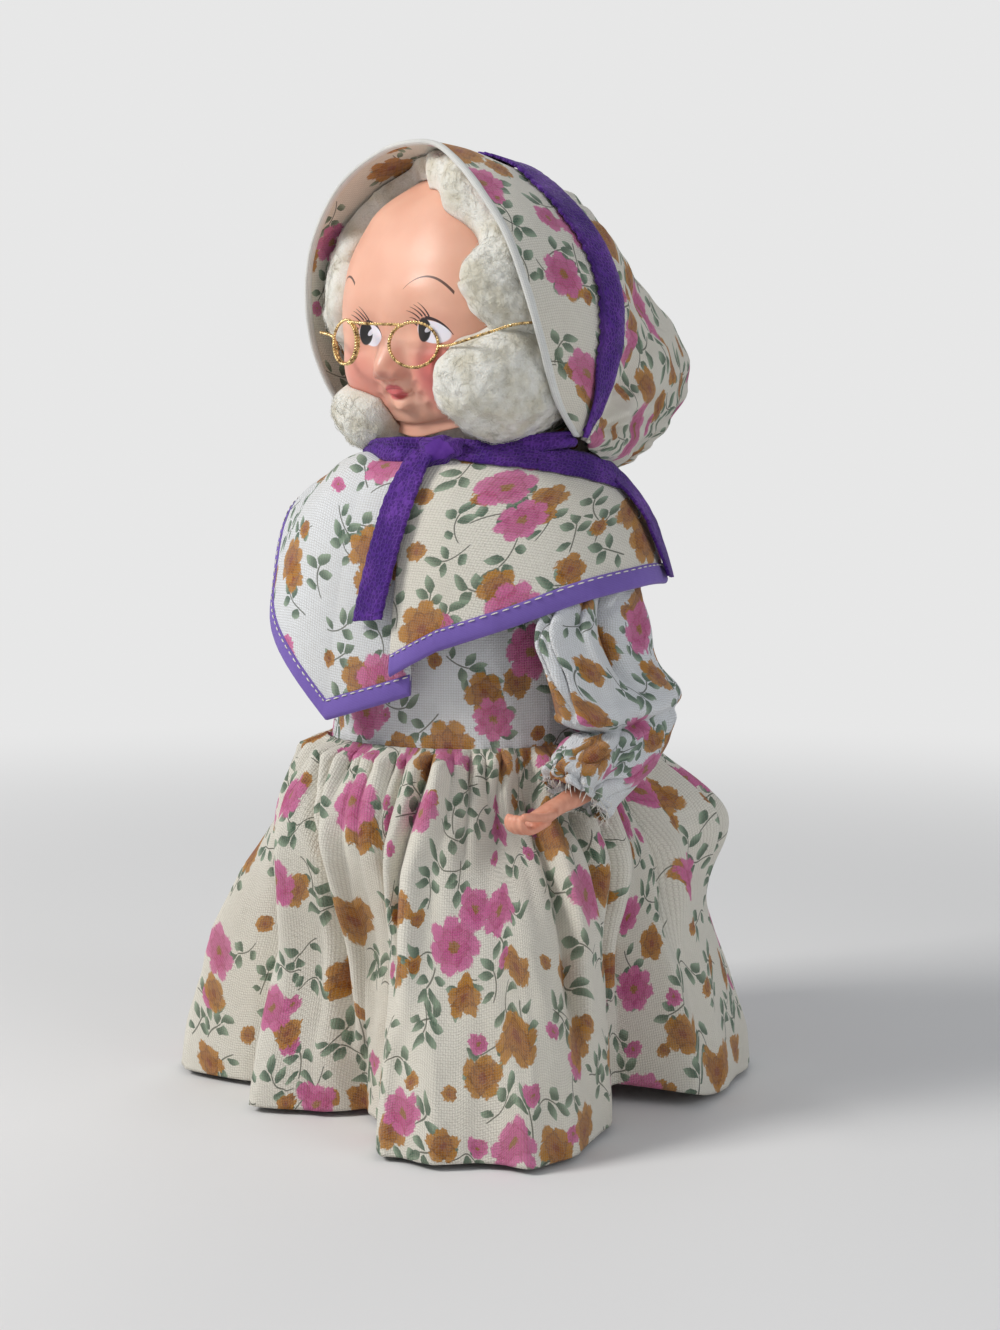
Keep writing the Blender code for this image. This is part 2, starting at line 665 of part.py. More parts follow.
def build_bonnet(cloth, lace):
    """Brim, gathered crown and the lace band over their seam."""
    places = hoop_places(23)
    half = SEAM_GAP_ANGLE / 2.0
    brim_grid = []
    for row in range(5):
        share = row / 4.0
        brim_grid.append([hood_point(blend(edge_angle(place), seam_angle(place) - half, share), place)
                          for place in places])
    brim = sheet("bonnet_brim", brim_grid, CLOTH, cloth)
    crown_grid = []
    for row in range(8):
        share = row / 7.0
        crown_grid.append([hood_point(blend(seam_angle(place) + half, NAPE_ANGLE, share), place)
                           for place in places])
    crown = sheet("bonnet_crown", crown_grid, CLOTH, cloth)
    band_grid = []
    for row in range(3):
        offset = BAND_ANGLE * (row / 2.0 - 0.5)
        band_grid.append([hood_point(seam_angle(place) + offset, place, RIBBON_LIFT) for place in places])
    band = sheet("bonnet_band", band_grid, RIBBON_THICKNESS, lace)
    return brim, crown, band


def pad(name, centre, spread, swell, seat, finish):
    """Cotton pad on the head: a patch of directions that swells outwards from what it sits on."""
    across, up = centre
    half_across, half_up = spread
    count = 9
    limit = TEMPLE_SPREAD - WIRE_RADIUS - SEAT_GAP
    outer = []
    inner = []
    for row in range(count):
        outer_row = []
        inner_row = []
        for column in range(count):
            flat_a = 2.0 * column / (count - 1) - 1.0
            flat_b = 2.0 * row / (count - 1) - 1.0
            a = flat_a * math.sqrt(1.0 - flat_b * flat_b / 2.0)
            b = flat_b * math.sqrt(1.0 - flat_a * flat_a / 2.0)
            direction = head_direction(across + a * half_across, up + b * half_up)
            base = seat(direction) + SEAT_GAP
            dome = max(1.0 - (a * a + b * b), 0.0) ** PAD_FULLNESS
            reach = base + LAYER_GAP + swell * dome
            point = HEAD_CENTRE + direction * reach
            point.x = max(-limit, min(limit, point.x))
            outer_row.append(inside_bonnet(point, CLOTH / 2.0 + SEAT_GAP))
            inner_row.append(HEAD_CENTRE + direction * base)
        outer.append(outer_row)
        inner.append(inner_row)
    points = [point for row in outer for point in row] + [point for row in inner for point in row]
    size = count * count
    faces = grid_faces(count, count, False)
    faces += [tuple(index + size for index in reversed(quad)) for quad in grid_faces(count, count, False)]
    border = list(range(count)) + [row * count + count - 1 for row in range(1, count)]
    border += [size - 1 - step for step in range(1, count)]
    border += [row * count for row in range(count - 2, 0, -1)]
    for index, corner in enumerate(border):
        after = border[(index + 1) % len(border)]
        faces.append((corner, after, after + size, corner + size))
    return add_mesh(name, points, faces, finish)


def ball_reach(direction):
    """Distance from the head's centre to the surface of the foam egg."""
    return ellipsoid_reach(direction, BALL_RADII)


def build_hair(finish):
    """Cotton wool pads round the face and at the nape."""
    pieces = [pad("hair_top", (0.0, 66.0), (84.0, 18.0), TOP_SWELL, face_reach, finish),
              pad("hair_nape", (180.0, -30.0), (78.0, 22.0), NAPE_SWELL, ball_reach, finish)]
    for side, sign in (("left", 1.0), ("right", -1.0)):
        pieces.append(pad("hair_side_" + side, (sign * 66.0, 18.0), (27.0, 27.0), SIDE_SWELL, face_reach,
                          finish))
        pieces.append(pad("hair_jaw_" + side, (sign * 62.0, -32.0), (36.0, 21.5), JAW_SWELL, face_reach,
                          finish))
    return pieces


# Tie

def build_tie_band(finish):
    """Ribbon round the neck under the chin, from bonnet tip to bonnet tip."""
    grid = []
    for row in range(3):
        level = TIE_HEIGHT + TIE_BAND_HEIGHT * (row / 2.0 - 0.5)
        line = []
        for step in range(25):
            angle = blend(-TIE_END_ANGLE, TIE_END_ANGLE, step / 24.0)
            out = smooth_step((abs(angle) - TIE_FLARE_START) / (TIE_END_ANGLE - TIE_FLARE_START))
            rise = out * (TIP_Z - TIE_HEIGHT - TIE_BAND_HEIGHT * 0.9)
            line.append(polar(angle, blend(TIE_RADIUS, TIP_HALF_WIDTH - LAYER_GAP, out), level + rise))
        grid.append(line)
    return sheet("tie_band", grid, RIBBON_THICKNESS, finish)


def build_knot(finish):
    """Knot in front of the neck, clear of the turning ribbon behind it."""
    outward = polar(KNOT_ANGLE, 1.0, 0.0)
    side = UP.cross(outward)
    radius = TIE_RADIUS + RIBBON_THICKNESS + SEAT_GAP
    rings = []
    for reach, share in ((0.0, 0.80), (0.25, 1.0), (0.70, 0.92), (1.0, 0.55)):
        ring = []
        for step in range(14):
            turn = math.tau * step / 14
            across = math.cos(turn) * KNOT_WIDTH / 2.0 * share
            up = math.sin(turn) * KNOT_HEIGHT / 2.0 * share
            behind = math.sqrt(radius ** 2 - across ** 2) if reach == 0.0 else radius
            ring.append(outward * (behind + reach * KNOT_DEPTH) + side * across + UP * (TIE_HEIGHT + up))
        rings.append(ring)
    return loft("tie_knot", rings, finish)


def build_tail(name, half, route, lifts, finish):
    """Ribbon tail lying on a collar half along a route of (place, along, down) entries."""
    steps = 12
    centres = []
    for step in range(steps + 1):
        place = step / steps
        along = table([(entry[0], entry[1]) for entry in route], place)
        down = table([(entry[0], entry[2]) for entry in route], place)
        centres.append(collar_point(half, along, down, blend(lifts[0], lifts[1], smooth_step(place))))
    grid = [[], []]
    for step, centre in enumerate(centres):
        before = centres[max(step - 1, 0)]
        after = centres[min(step + 1, steps)]
        run = (after - before).normalized()
        outward = Vector((centre.x, centre.y, NECKLINE_RADIUS)).normalized()
        across = run.cross(outward).normalized() * RIBBON_WIDTH / 2.0
        width = blend(0.75, 1.0, step / steps)
        grid[0].append(centre - across * width)
        grid[1].append(centre + across * width)
    return sheet(name, grid, RIBBON_THICKNESS, finish)


# Spectacles

def wire_path():
    """One wire: right temple, right ring, bridge, left ring, left temple."""
    right = []
    outer = RING_HALF_SPACING + RING_RADIUS
    for spread, back, rise in TEMPLE_SHARES:
        right.append(Vector((-blend(outer, TEMPLE_SPREAD, spread), RING_Y + TEMPLE_LENGTH * back,
                             RING_HEIGHT + TEMPLE_RISE * rise)))
    turns, per_turn = 1.5, 14
    count = int(turns * per_turn)
    for step in range(count + 1):
        turn = math.pi - math.tau * turns * step / count
        depth = RING_PITCH * (0.75 - 1.5 * step / count)
        right.append(Vector((RING_RADIUS * math.cos(turn) - RING_HALF_SPACING, RING_Y + depth,
                             RING_HEIGHT + RING_RADIUS * math.sin(turn))))
    right.append(Vector((-RING_HALF_SPACING * 0.42, RING_Y - RING_PITCH * 0.9,
                         RING_HEIGHT + RING_RADIUS * 0.45)))
    left = [Vector((-point.x, point.y, point.z)) for point in reversed(right)]
    return right + left


def build_spectacles(finish):
    """Gold wire spectacles as one bent wire."""
    curve = bpy.data.curves.new("spectacles", "CURVE")
    curve.dimensions = "3D"
    curve.bevel_depth = WIRE_RADIUS
    curve.bevel_resolution = 1
    curve.use_fill_caps = True
    points = wire_path()
    spline = curve.splines.new("POLY")
    spline.points.add(len(points) - 1)
    for place, point in zip(spline.points, points):
        place.co = (*point, 1.0)
    made = bpy.data.objects.new("spectacles", curve)
    made.data.materials.append(finish)
    bpy.context.collection.objects.link(made)
    return made


# Arms

def shoulder(side_sign):
    """Centre of a shoulder joint."""
    return Vector((side_sign * SHOULDER_X, SHOULDER_BACK, SHOULDER_Z))


def section_point(section, side_sign, rear_share):
    """Point of a sleeve section between its front (0) and its rear (1)."""
    out, _, front, rear = section
    back = blend(front[0], rear[0], rear_share)
    up = blend(front[1], rear[1], rear_share)
    return shoulder(side_sign) + Vector((side_sign * out, back, up)) * ARM_LENGTH


def sleeve_ring(section, sides, side_sign):
    """Oval ring of one sleeve section."""
    middle = section_point(section, side_sign, 0.5)
    reach = section_point(section, side_sign, 1.0) - middle
    swell = Vector((side_sign * section[1] * ARM_LENGTH, 0.0, 0.0))
    return [middle + reach * math.cos(math.tau * step / sides) + swell * math.sin(math.tau * step / sides)
            for step in range(sides)]


def build_sleeve(side, sections, side_sign, cloth):
    """Sleeve closed over the shoulder and open at its cuff."""
    sides = 16
    rings = [sleeve_ring(section, sides, side_sign) for section in sections]
    points = [point for ring in rings for point in ring]
    faces = grid_faces(len(rings), sides, True)
    faces.append(tuple(range(sides)))
    made = add_mesh("sleeve_" + side, points, faces, cloth)
    solid = made.modifiers.new("Thickness", "SOLIDIFY")
    solid.thickness = SLEEVE_CLOTH
    solid.offset = -1.0
    return made


def arm_route(sections, side_sign):
    """Middle line of an arm from its pin to its wrist."""
    joint = shoulder(side_sign)
    outward = Vector((side_sign, 0.0, 0.0))
    route = [joint - outward * PIN_LENGTH, joint - outward * ARM_RADIUS, joint]
    for index, rear_share in ((3, 0.5), (5, 0.55), (6, 0.55), (7, 0.45), (9, 0.45)):
        route.append(section_point(sections[index], side_sign, rear_share))
    return route


def tube_rings(centres, radii, sides, first_axis):
    """Rings round a line of centres, each square to the line, without twist."""
    rings = []
    axis = first_axis
    for index, (centre, radius) in enumerate(zip(centres, radii)):
        before = centres[max(index - 1, 0)]
        after = centres[min(index + 1, len(centres) - 1)]
        run = (after - before).normalized()
        axis = (axis - run * axis.dot(run)).normalized()
        other = run.cross(axis)
        rings.append([centre + (axis * math.cos(math.tau * step / sides)
                                + other * math.sin(math.tau * step / sides)) * radius
                      for step in range(sides)])
    return rings


def build_arm(side, sections, side_sign, finish):
    """Padded wire arm: pin into the shoulder, bent arm and a bare wire end for the hand."""
    route = arm_route(sections, side_sign)
    wrist = route[-1]
    run = (wrist - route[-2]).normalized()
    neck = blend(route[1], route[2], 0.2)
    centres = route[:2] + [neck] + route[2:] + [wrist + run * FIT_GAP, wrist + run * WRIST_WIRE_LENGTH]
    radii = [PIN_RADIUS] * 3 + [SHOULDER_PAD_RADIUS] + [ARM_RADIUS] * 5 + [WRIST_WIRE_RADIUS] * 2
    rings = tube_rings(centres, radii, 10, Vector((0.0, 1.0, 0.0)))
    return loft("arm_" + side, rings, finish), wrist, run


def build_hand(side, wrist, run, side_sign, finish):
    """Moulded hand with a cupped palm, pushed on the wire."""
    start = wrist + run * SEAT_GAP
    inward = Vector((-side_sign, 0.0, 0.0))
    across = (inward - run * inward.dot(run)).normalized()
    up = run.cross(across) * side_sign
    rings = []
    for place, width, depth in HAND_SHARES:
        bend = HAND_LENGTH * 0.16 * max(place - 0.45, 0.0) ** 1.5
        centre = start + run * HAND_LENGTH * place + up * bend
        rings.append([centre + across * (HAND_WRIST_RADIUS * width * math.cos(math.tau * step / 14))
                      + up * (HAND_WRIST_RADIUS * depth * math.sin(math.tau * step / 14))
                      for step in range(14)])
    hand = loft("hand_" + side, rings, finish)
    drill(hand, wrist - run * WRIST_WIRE_RADIUS, wrist + run * (WRIST_WIRE_LENGTH + FIT_GAP),
          WRIST_WIRE_RADIUS + FIT_GAP, "wire_bore_" + side)
    return hand


def build_doll():
    """Make every piece and hang the moving ones on their pivots."""
    print_cloth = material("floral cotton", (0.76, 0.73, 0.64), 0.9)
    plain_cloth = material("plain cotton", (0.85, 0.85, 0.84), 0.9)
    lavender = material("lavender binding", (0.19, 0.11, 0.42), 0.8)
    lace = material("purple lace", (0.13, 0.03, 0.30), 0.75)
    vinyl = material("peach vinyl", (0.75, 0.37, 0.26), 0.4)
    cotton = material("cotton wool", (0.60, 0.59, 0.54), 1.0)
    gold = material("gold wire", (0.51, 0.30, 0.10), 0.3, 1.0)
    foam = material("white foam", (0.80, 0.80, 0.80), 0.9)
    wood = material("birch dowel", (0.60, 0.42, 0.24), 0.6)
    pink = material("pink base", (0.80, 0.45, 0.52), 0.15)
    black = material("black stud", (0.02, 0.02, 0.02), 0.4)
    padding = material("white padding", (0.75, 0.74, 0.70), 0.95)

    build_base(pink)
    core = build_core(foam)
    build_dowel(wood)
    bodice = build_bodice(plain_cloth)
    build_skirt(print_cloth)
    left_half = (LEFT_EDGE_SHARES, LEFT_NECK_FRONT, NECK_BACK)
    right_half = (RIGHT_EDGE_SHARES, RIGHT_NECK_FRONT, -NECK_BACK)
    build_collar("left", left_half, LAP_LIFT, print_cloth, lavender)
    build_collar("right", right_half, 0.0, print_cloth, lavender)
    build_snap(black)

    neck = pivot("neck_axis", (0.0, 0.0, HEAD_PIVOT_HEIGHT))
    head_pieces = [build_ball(foam), build_mask(vinyl), build_tie_band(lace)]
    head_pieces += build_hair(cotton)
    head_pieces += build_bonnet(print_cloth, lace)
    carry(neck, head_pieces)
    carry(pivot("spectacle_rest", (0.0, RING_Y, RING_HEIGHT)), [build_spectacles(gold)])

    build_knot(lace)
    over_left = LAP_LIFT + RIBBON_LIFT
    build_tail("tie_tail_left", right_half, ((0.0, 0.02, 0.22), (0.5, 0.05, 0.55), (1.0, 0.075, 0.81)),
               (over_left + CLOTH + LAYER_GAP, over_left + LAYER_GAP), lace)
    build_tail("tie_tail_right", left_half,
               ((0.0, 0.34, 0.26), (0.4, 0.66, 0.36), (0.7, 0.88, 0.62), (1.0, 0.97, 0.97)),
               (over_left, over_left), lace)

    for side, sections, sign in (("left", LEFT_SLEEVE_SHARES, 1.0), ("right", RIGHT_SLEEVE_SHARES, -1.0)):
        joint = shoulder(sign)
        outward = Vector((sign, 0.0, 0.0))
        arm, wrist, run = build_arm(side, sections, sign, padding)
        sleeve = build_sleeve(side, sections, sign, print_cloth)
        hand = build_hand(side, wrist, run, sign, vinyl)
        near = joint - outward * (PIN_LENGTH + FIT_GAP)
        far = joint + outward * PIN_RADIUS
        drill(core, near, far, PIN_RADIUS + FIT_GAP, "pin_bore_" + side)
        drill(bodice, near, far, PIN_RADIUS + FIT_GAP, "bodice_eyelet_" + side)
        drill(sleeve, joint - outward * SHOULDER_STAND_OFF, joint, SHOULDER_PAD_RADIUS + FIT_GAP,
              "sleeve_eyelet_" + side)
        carry(pivot("shoulder_" + side, joint), [arm, sleeve])
        carry(pivot("wrist_" + side, wrist), [hand])


clear_scene()
build_doll()
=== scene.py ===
import math
import random

import bmesh
import bpy
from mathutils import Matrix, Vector, noise
from mathutils.bvhtree import BVHTree


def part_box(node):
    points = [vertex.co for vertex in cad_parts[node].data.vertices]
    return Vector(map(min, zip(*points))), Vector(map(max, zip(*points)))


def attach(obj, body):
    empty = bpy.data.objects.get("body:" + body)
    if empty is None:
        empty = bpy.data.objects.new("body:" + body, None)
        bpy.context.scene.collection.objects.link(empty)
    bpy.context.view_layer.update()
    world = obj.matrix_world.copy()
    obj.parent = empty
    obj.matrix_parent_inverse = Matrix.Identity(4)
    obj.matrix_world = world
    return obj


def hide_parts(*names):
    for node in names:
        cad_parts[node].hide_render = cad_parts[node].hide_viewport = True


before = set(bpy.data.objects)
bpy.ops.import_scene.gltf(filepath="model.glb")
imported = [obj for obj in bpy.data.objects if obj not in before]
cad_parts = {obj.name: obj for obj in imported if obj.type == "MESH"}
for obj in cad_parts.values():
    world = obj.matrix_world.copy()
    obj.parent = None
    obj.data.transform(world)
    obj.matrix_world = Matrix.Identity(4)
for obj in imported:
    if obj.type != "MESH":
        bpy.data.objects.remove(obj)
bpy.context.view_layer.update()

# Cloth and clearances, in metres like every length here
CLOTH = 0.0010
SEAT_GAP = 0.0006
UP = Vector((0.0, 0.0, 1.0))
ORIGIN = (0.0, 0.0, 0.0)

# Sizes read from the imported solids
BASE_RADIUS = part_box("base_disc")[1].x
WAIST_HEIGHT = 0.1135
NECK_STAND_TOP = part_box("bodice")[1].z
HEAD_PIVOT_HEIGHT = NECK_STAND_TOP + 0.0013

# Body
CORE_RADIUS = 0.0405
BODICE_THICKNESS = 0.0035
BODICE_RADIUS = CORE_RADIUS + BODICE_THICKNESS
TORSO_LENGTH = 0.0765
TORSO_SHARES = ((1.0, 0.0), (0.983, 0.425), (0.852, 0.7255), (0.654, 1.0))
NECK_STAND_RADIUS = CORE_RADIUS * TORSO_SHARES[-1][0] + BODICE_THICKNESS
NECKLINE_HEIGHT = 0.1945
NECKLINE_RADIUS = NECK_STAND_RADIUS + 0.0024
COLLAR_TOP = 0.1985

# Skirt
HEM_RADIUS = 0.0925
HEM_HEIGHT = 0.0012
WAIST_RADIUS = BODICE_RADIUS + 0.0004
VALLEY_RADIUS = BASE_RADIUS + 0.0032
BELL_SHARES = ((0.0, 0.0), (0.085, 0.175), (0.19, 0.365), (0.335, 0.515), (0.51, 0.66), (0.71, 0.83),
               (0.87, 0.96), (1.0, 1.0))
FOLD_DEPTH_SHARE = 0.62
FOLD_SHARES = ((-175, 0.30), (-165, 0.95), (-148, 0.90), (-138, 0.22), (-122, 0.95), (-98, 1.0),
               (-84, 0.25), (-70, 1.0), (-48, 1.10), (-34, 0.30), (-19, 0.60), (-6, 0.32), (5, 0.0),
               (17, 0.12), (27, 0.84), (44, 0.90), (56, 1.0), (80, 0.50), (94, 0.06), (104, 0.08),
               (110, 0.62), (124, 0.78), (148, 1.05), (160, 0.86), (172, 0.32))
ARM_DENT_DROP = 0.017
ARM_DENT_FOOT_SHARE = 0.485
ARM_DENT_FULL_SHARE = 0.793
ARM_DENT_ANGLE = 84.0
ARM_DENT_HALF_ANGLE = 46.0
ARM_DENT_FADE_ANGLE = 16.0
GATHERS = 58
GATHER_DEPTH = 0.0072
# Sharp creases of the skirt: degrees at the waist, below it and at the hem, where it ends, depth and half width
CREASES = (
    (-14.0, -4.0, 1.0, 0.90, 0.0066, 2.2), (-7.0, -1.0, 3.0, 0.45, 0.0046, 1.5), (22.0, 19.0, 18.0, 0.55, 0.0050, 1.7),
    (31.0, 25.5, 27.0, 0.75, 0.0066, 2.1), (44.0, 42.0, 43.0, 0.36, 0.0034, 1.6), (55.0, 52.0, 52.0, 0.30, 0.0030, 1.5),
    (66.0, 67.0, 71.0, 0.85, 0.0062, 2.3), (-28.0, -20.0, -18.0, 0.70, 0.0054, 2.0),
    (-42.0, -36.0, -34.0, 0.80, 0.0056, 2.2), (-57.0, -56.0, -58.0, 0.50, 0.0044, 2.0),
    (84.0, 84.0, 84.0, 0.60, 0.0040, 2.0), (99.0, 96.0, 94.0, 0.85, 0.0050, 2.2), (116.0, 112.0, 110.0, 0.65, 0.0046, 2.0),
    (132.0, 132.0, 134.0, 0.55, 0.0046, 2.2), (153.0, 150.0, 149.0, 0.75, 0.0050, 2.2),
    (171.0, 172.0, 174.0, 0.85, 0.0056, 2.2), (-160.0, -163.0, -165.0, 0.60, 0.0046, 2.0),
    (-139.0, -138.0, -138.0, 0.80, 0.0054, 2.2), (-116.0, -114.0, -112.0, 0.60, 0.0046, 2.0),
    (-90.0, -86.0, -84.0, 0.80, 0.0052, 2.2), (-72.0, -70.0, -72.0, 0.45, 0.0040, 1.8),
)

# Collar halves
COLLAR_REACH = BODICE_RADIUS + 0.0200
COLLAR_DROP = 0.0730
LEFT_EDGE_SHARES = ((17.5, 0.587, 0.815), (34.0, 0.635, 0.705), (56.0, 0.698, 0.610),
                    (80.0, 0.794, 0.507), (104.0, 0.865, 0.459), (122.0, 0.87, 0.463))
RIGHT_EDGE_SHARES = ((23.0, 0.524, 0.884), (-5.0, 0.778, 1.0), (-22.0, 0.937, 0.774),
                     (-48.0, 0.975, 0.535), (-66.0, 1.0, 0.200), (-86.0, 0.90, 0.120), (-124.0, 0.810, 0.253))
LEFT_HALF = (LEFT_EDGE_SHARES, 20.0, 165.0)
RIGHT_HALF = (RIGHT_EDGE_SHARES, 28.0, -165.0)
LAP_LIFT = 0.0018
DRAPE_TURN = 68.0
STRAIGHT_DROP_SHARE = 0.85
BINDING_WIDTH = 0.0060
STITCH_PITCH = 0.0030

# Head
HEAD_HALF_WIDTH = 0.0340
HEAD_HALF_DEPTH = 0.0335
HEAD_HALF_HEIGHT = 0.0405
HEAD_CENTRE = Vector((0.0, -0.002, HEAD_PIVOT_HEIGHT + 0.0425))
MASK_DEPTH = 0.0036
FACE_RADII = Vector((HEAD_HALF_WIDTH, HEAD_HALF_DEPTH, HEAD_HALF_HEIGHT))
BALL_RADII = FACE_RADII - Vector((MASK_DEPTH, MASK_DEPTH, MASK_DEPTH))
FACE_HALF_ANGLE = 82.0
CHIN_CUT_ANGLE = 20.0

# Bonnet
TIP_BACK = 0.004
TIP_Z = HEAD_PIVOT_HEIGHT + 0.0010
TIP_HALF_WIDTH = 0.0430
HOOD_HEIGHT = HEAD_CENTRE.z + HEAD_HALF_HEIGHT - TIP_Z + 0.0025
HOOP_SHARES = ((0.0, 1.0), (20.0, 0.97), (40.0, 0.955), (52.0, 0.985), (62.0, 1.050), (69.0, 1.055), (76.0, 0.970),
               (84.0, 0.810), (91.0, 0.66), (98.0, 0.54), (106.0, 0.43))
HOOP_SQUARENESS = ((0.0, 2.6), (30.0, 2.1), (60.0, 2.2), (96.0, 2.6))
HOOP_WIDTHS = ((0.0, 0.047), (18.0, 0.0455), (32.0, 0.0430), (46.0, 0.0385), (60.0, 0.0395), (76.0, 0.0435),
               (98.0, 0.0430))
NAPE_ANGLE = 106.0
BAND_WIDTH = 0.0104
# Lines on the bonnet from its top to its left tip: across, back and up
BRIM_EDGE = ((0.0, -0.0280, 0.2940), (0.0112, -0.0276, 0.2928), (0.0226, -0.0302, 0.2868),
             (0.0326, -0.0310, 0.2780), (0.0428, -0.0295, 0.2640), (0.0480, -0.0264, 0.2480),
             (0.0496, -0.0214, 0.2320), (0.0474, -0.0126, 0.2166), (0.0430, 0.0010, 0.2060))
CROWN_SEAM = ((0.0, 0.0035, 0.2885), (0.0200, 0.0015, 0.2862), (0.0384, 0.0040, 0.2718), (0.0474, 0.0085, 0.2566),
              (0.0496, 0.0104, 0.2412), (0.0484, 0.0080, 0.2258), (0.0450, 0.0056, 0.2125), (0.0430, 0.0032, 0.2055))

# Ribbon
RIBBON_WIDTH = 0.0100
RIBBON_THICKNESS = 0.0009
RIBBON_LIFT = 0.0020
TIE_RADIUS = NECK_STAND_RADIUS + 0.0033
TIE_HEIGHT = NECK_STAND_TOP - 0.0010
TIE_BAND_HEIGHT = 0.0078
TIE_FLARE_START = 52.0
TIE_END_ANGLE = 92.0
KNOT_ANGLE = 30.0

# Arms
SHOULDER_X = BODICE_RADIUS + 0.0072
SHOULDER_BACK = 0.010
SHOULDER_Z = 0.163
ARM_LENGTH = 0.100
ARM_RADIUS = 0.0036
SLEEVE_TOP_SHARES = (
    (-0.010, 0.018, (-0.060, 0.060), (0.050, 0.062)),
    (-0.006, 0.032, (-0.110, 0.025), (0.100, 0.030)),
)
LEFT_SLEEVE_SHARES = SLEEVE_TOP_SHARES[:1] + (
    (-0.006, 0.034, (-0.170, 0.015), (0.100, 0.030)),
    (0.004, 0.047, (-0.290, -0.055), (0.118, -0.045)),
    (0.023, 0.068, (-0.365, -0.150), (0.123, -0.140)),
    (0.043, 0.085, (-0.344, -0.250), (0.124, -0.245)),
    (0.060, 0.095, (-0.310, -0.360), (0.212, -0.362)),
    (0.073, 0.098, (-0.250, -0.432), (0.152, -0.468)),
    (0.090, 0.098, (-0.322, -0.468), (0.062, -0.555)),
    (0.100, 0.090, (-0.362, -0.495), (-0.054, -0.622)),
    (0.100, 0.079, (-0.385, -0.517), (-0.121, -0.664)),
    (0.090, 0.092, (-0.385, -0.545), (-0.172, -0.700)),
)
RIGHT_SLEEVE_SHARES = SLEEVE_TOP_SHARES + (
    (0.004, 0.045, (-0.160, -0.050), (0.150, -0.045)),
    (0.023, 0.068, (-0.200, -0.150), (0.190, -0.140)),
    (0.043, 0.085, (-0.180, -0.270), (0.250, -0.240)),
    (0.060, 0.095, (-0.130, -0.380), (0.340, -0.340)),
    (0.083, 0.098, (-0.095, -0.440), (0.340, -0.480)),
    (0.108, 0.096, (-0.085, -0.500), (0.280, -0.640)),
    (0.133, 0.088, (-0.080, -0.565), (0.185, -0.725)),
    (0.156, 0.072, (-0.065, -0.620), (0.100, -0.750)),
    (0.170, 0.098, (-0.115, -0.655), (0.090, -0.830)),
)
# Middle of each arm from below the shoulder to the wrist: out, back and up
ARM_ROUTES = {
    "left": ((0.023, -0.0375, -0.145), (0.060, 0.045, -0.371), (0.073, 0.029, -0.4685), (0.090, -0.0855, -0.5415),
             (0.100, -0.228, -0.6025)),
    "right": ((0.023, -0.005, -0.145), (0.060, 0.1285, -0.358), (0.083, 0.144, -0.462), (0.108, 0.079, -0.563),
              (0.156, 0.009, -0.6785)),
}

# Camera: the photograph's lens, standing at the doll's front left
IMAGE_LONG_SIDE = 1330.0
FOCAL_PIXELS = 2000.0
CAMERA_DISTANCE = 0.6336
CAMERA_HEIGHT = 0.1960
CAMERA_AZIMUTH = 45.0
CAMERA_PITCH = math.degrees(0.0969)
CAMERA_YAW = math.degrees(0.0140)


def polar(angle, radius, height):
    """Point at an angle from the doll's front towards its left."""
    turn = math.radians(angle)
    return Vector((radius * math.sin(turn), -radius * math.cos(turn), height))


def put_in_scene(name, data):
    """New object in the scene."""
    made = bpy.data.objects.new(name, data)
    bpy.context.collection.objects.link(made)
    return made


def make_camera():
    """Camera at the photograph's place."""
    data = bpy.data.cameras.new("camera")
    data.sensor_width = 36.0
    data.lens = FOCAL_PIXELS / IMAGE_LONG_SIDE * data.sensor_width
    data.clip_start = 0.01
    data.clip_end = 20.0
    made = put_in_scene("camera", data)
    made.location = polar(CAMERA_AZIMUTH, CAMERA_DISTANCE, CAMERA_HEIGHT)
    heading = math.radians(CAMERA_AZIMUTH - CAMERA_YAW)
    made.rotation_euler = (math.radians(90.0 - CAMERA_PITCH), 0.0, heading)
    bpy.context.scene.camera = made


# Small helpers

def blend(low, high, share):
    """Value between two others."""
    return low + (high - low) * share


def smooth_step(share):
    """Ease in and out between 0 and 1."""
    held = min(max(share, 0.0), 1.0)
    return held * held * (3.0 - 2.0 * held)


def table(pairs, place, eased=True):
    """Read a table of rising places, eased or straight between its entries."""
    if place <= pairs[0][0]:
        return pairs[0][1]
    for (low, first), (high, second) in zip(pairs, pairs[1:]):
        if place <= high:
            share = (place - low) / (high - low)
            return blend(first, second, smooth_step(share) if eased else share)
    return pairs[-1][1]


def curve_table(values, place):
    """Read evenly spaced values with a smooth curve through them; place runs from 0 to 1."""
    spot = min(max(place, 0.0), 1.0) * (len(values) - 1)
    index = min(int(spot), len(values) - 2)
    share = spot - index
    first = values[max(index - 1, 0)]
    second = values[index]
    third = values[index + 1]
    fourth = values[min(index + 2, len(values) - 1)]
    bend = (third - first) * share + (first * 2.0 - second * 5.0 + third * 4.0 - fourth) * share ** 2
    return second + (bend + (second * 3.0 - third * 3.0 + fourth - first) * share ** 3) * 0.5


def columns_of(points):
    """Lists of the x, y and z of points."""
    return [[point[axis] for point in points] for axis in range(3)]


def curve_point(columns, place):
    """Point on the smooth curve through evenly spaced points, given as their columns."""
    return Vector([curve_table(column, place) for column in columns])


def wrap(angle):
    """Angle between -180 and 180 degrees."""
    return (angle + 180.0) % 360.0 - 180.0


def ripple(x, y, z=0.0):
    """Smooth noise from -1 to 1."""
    return noise.noise(Vector((x, y, z)))


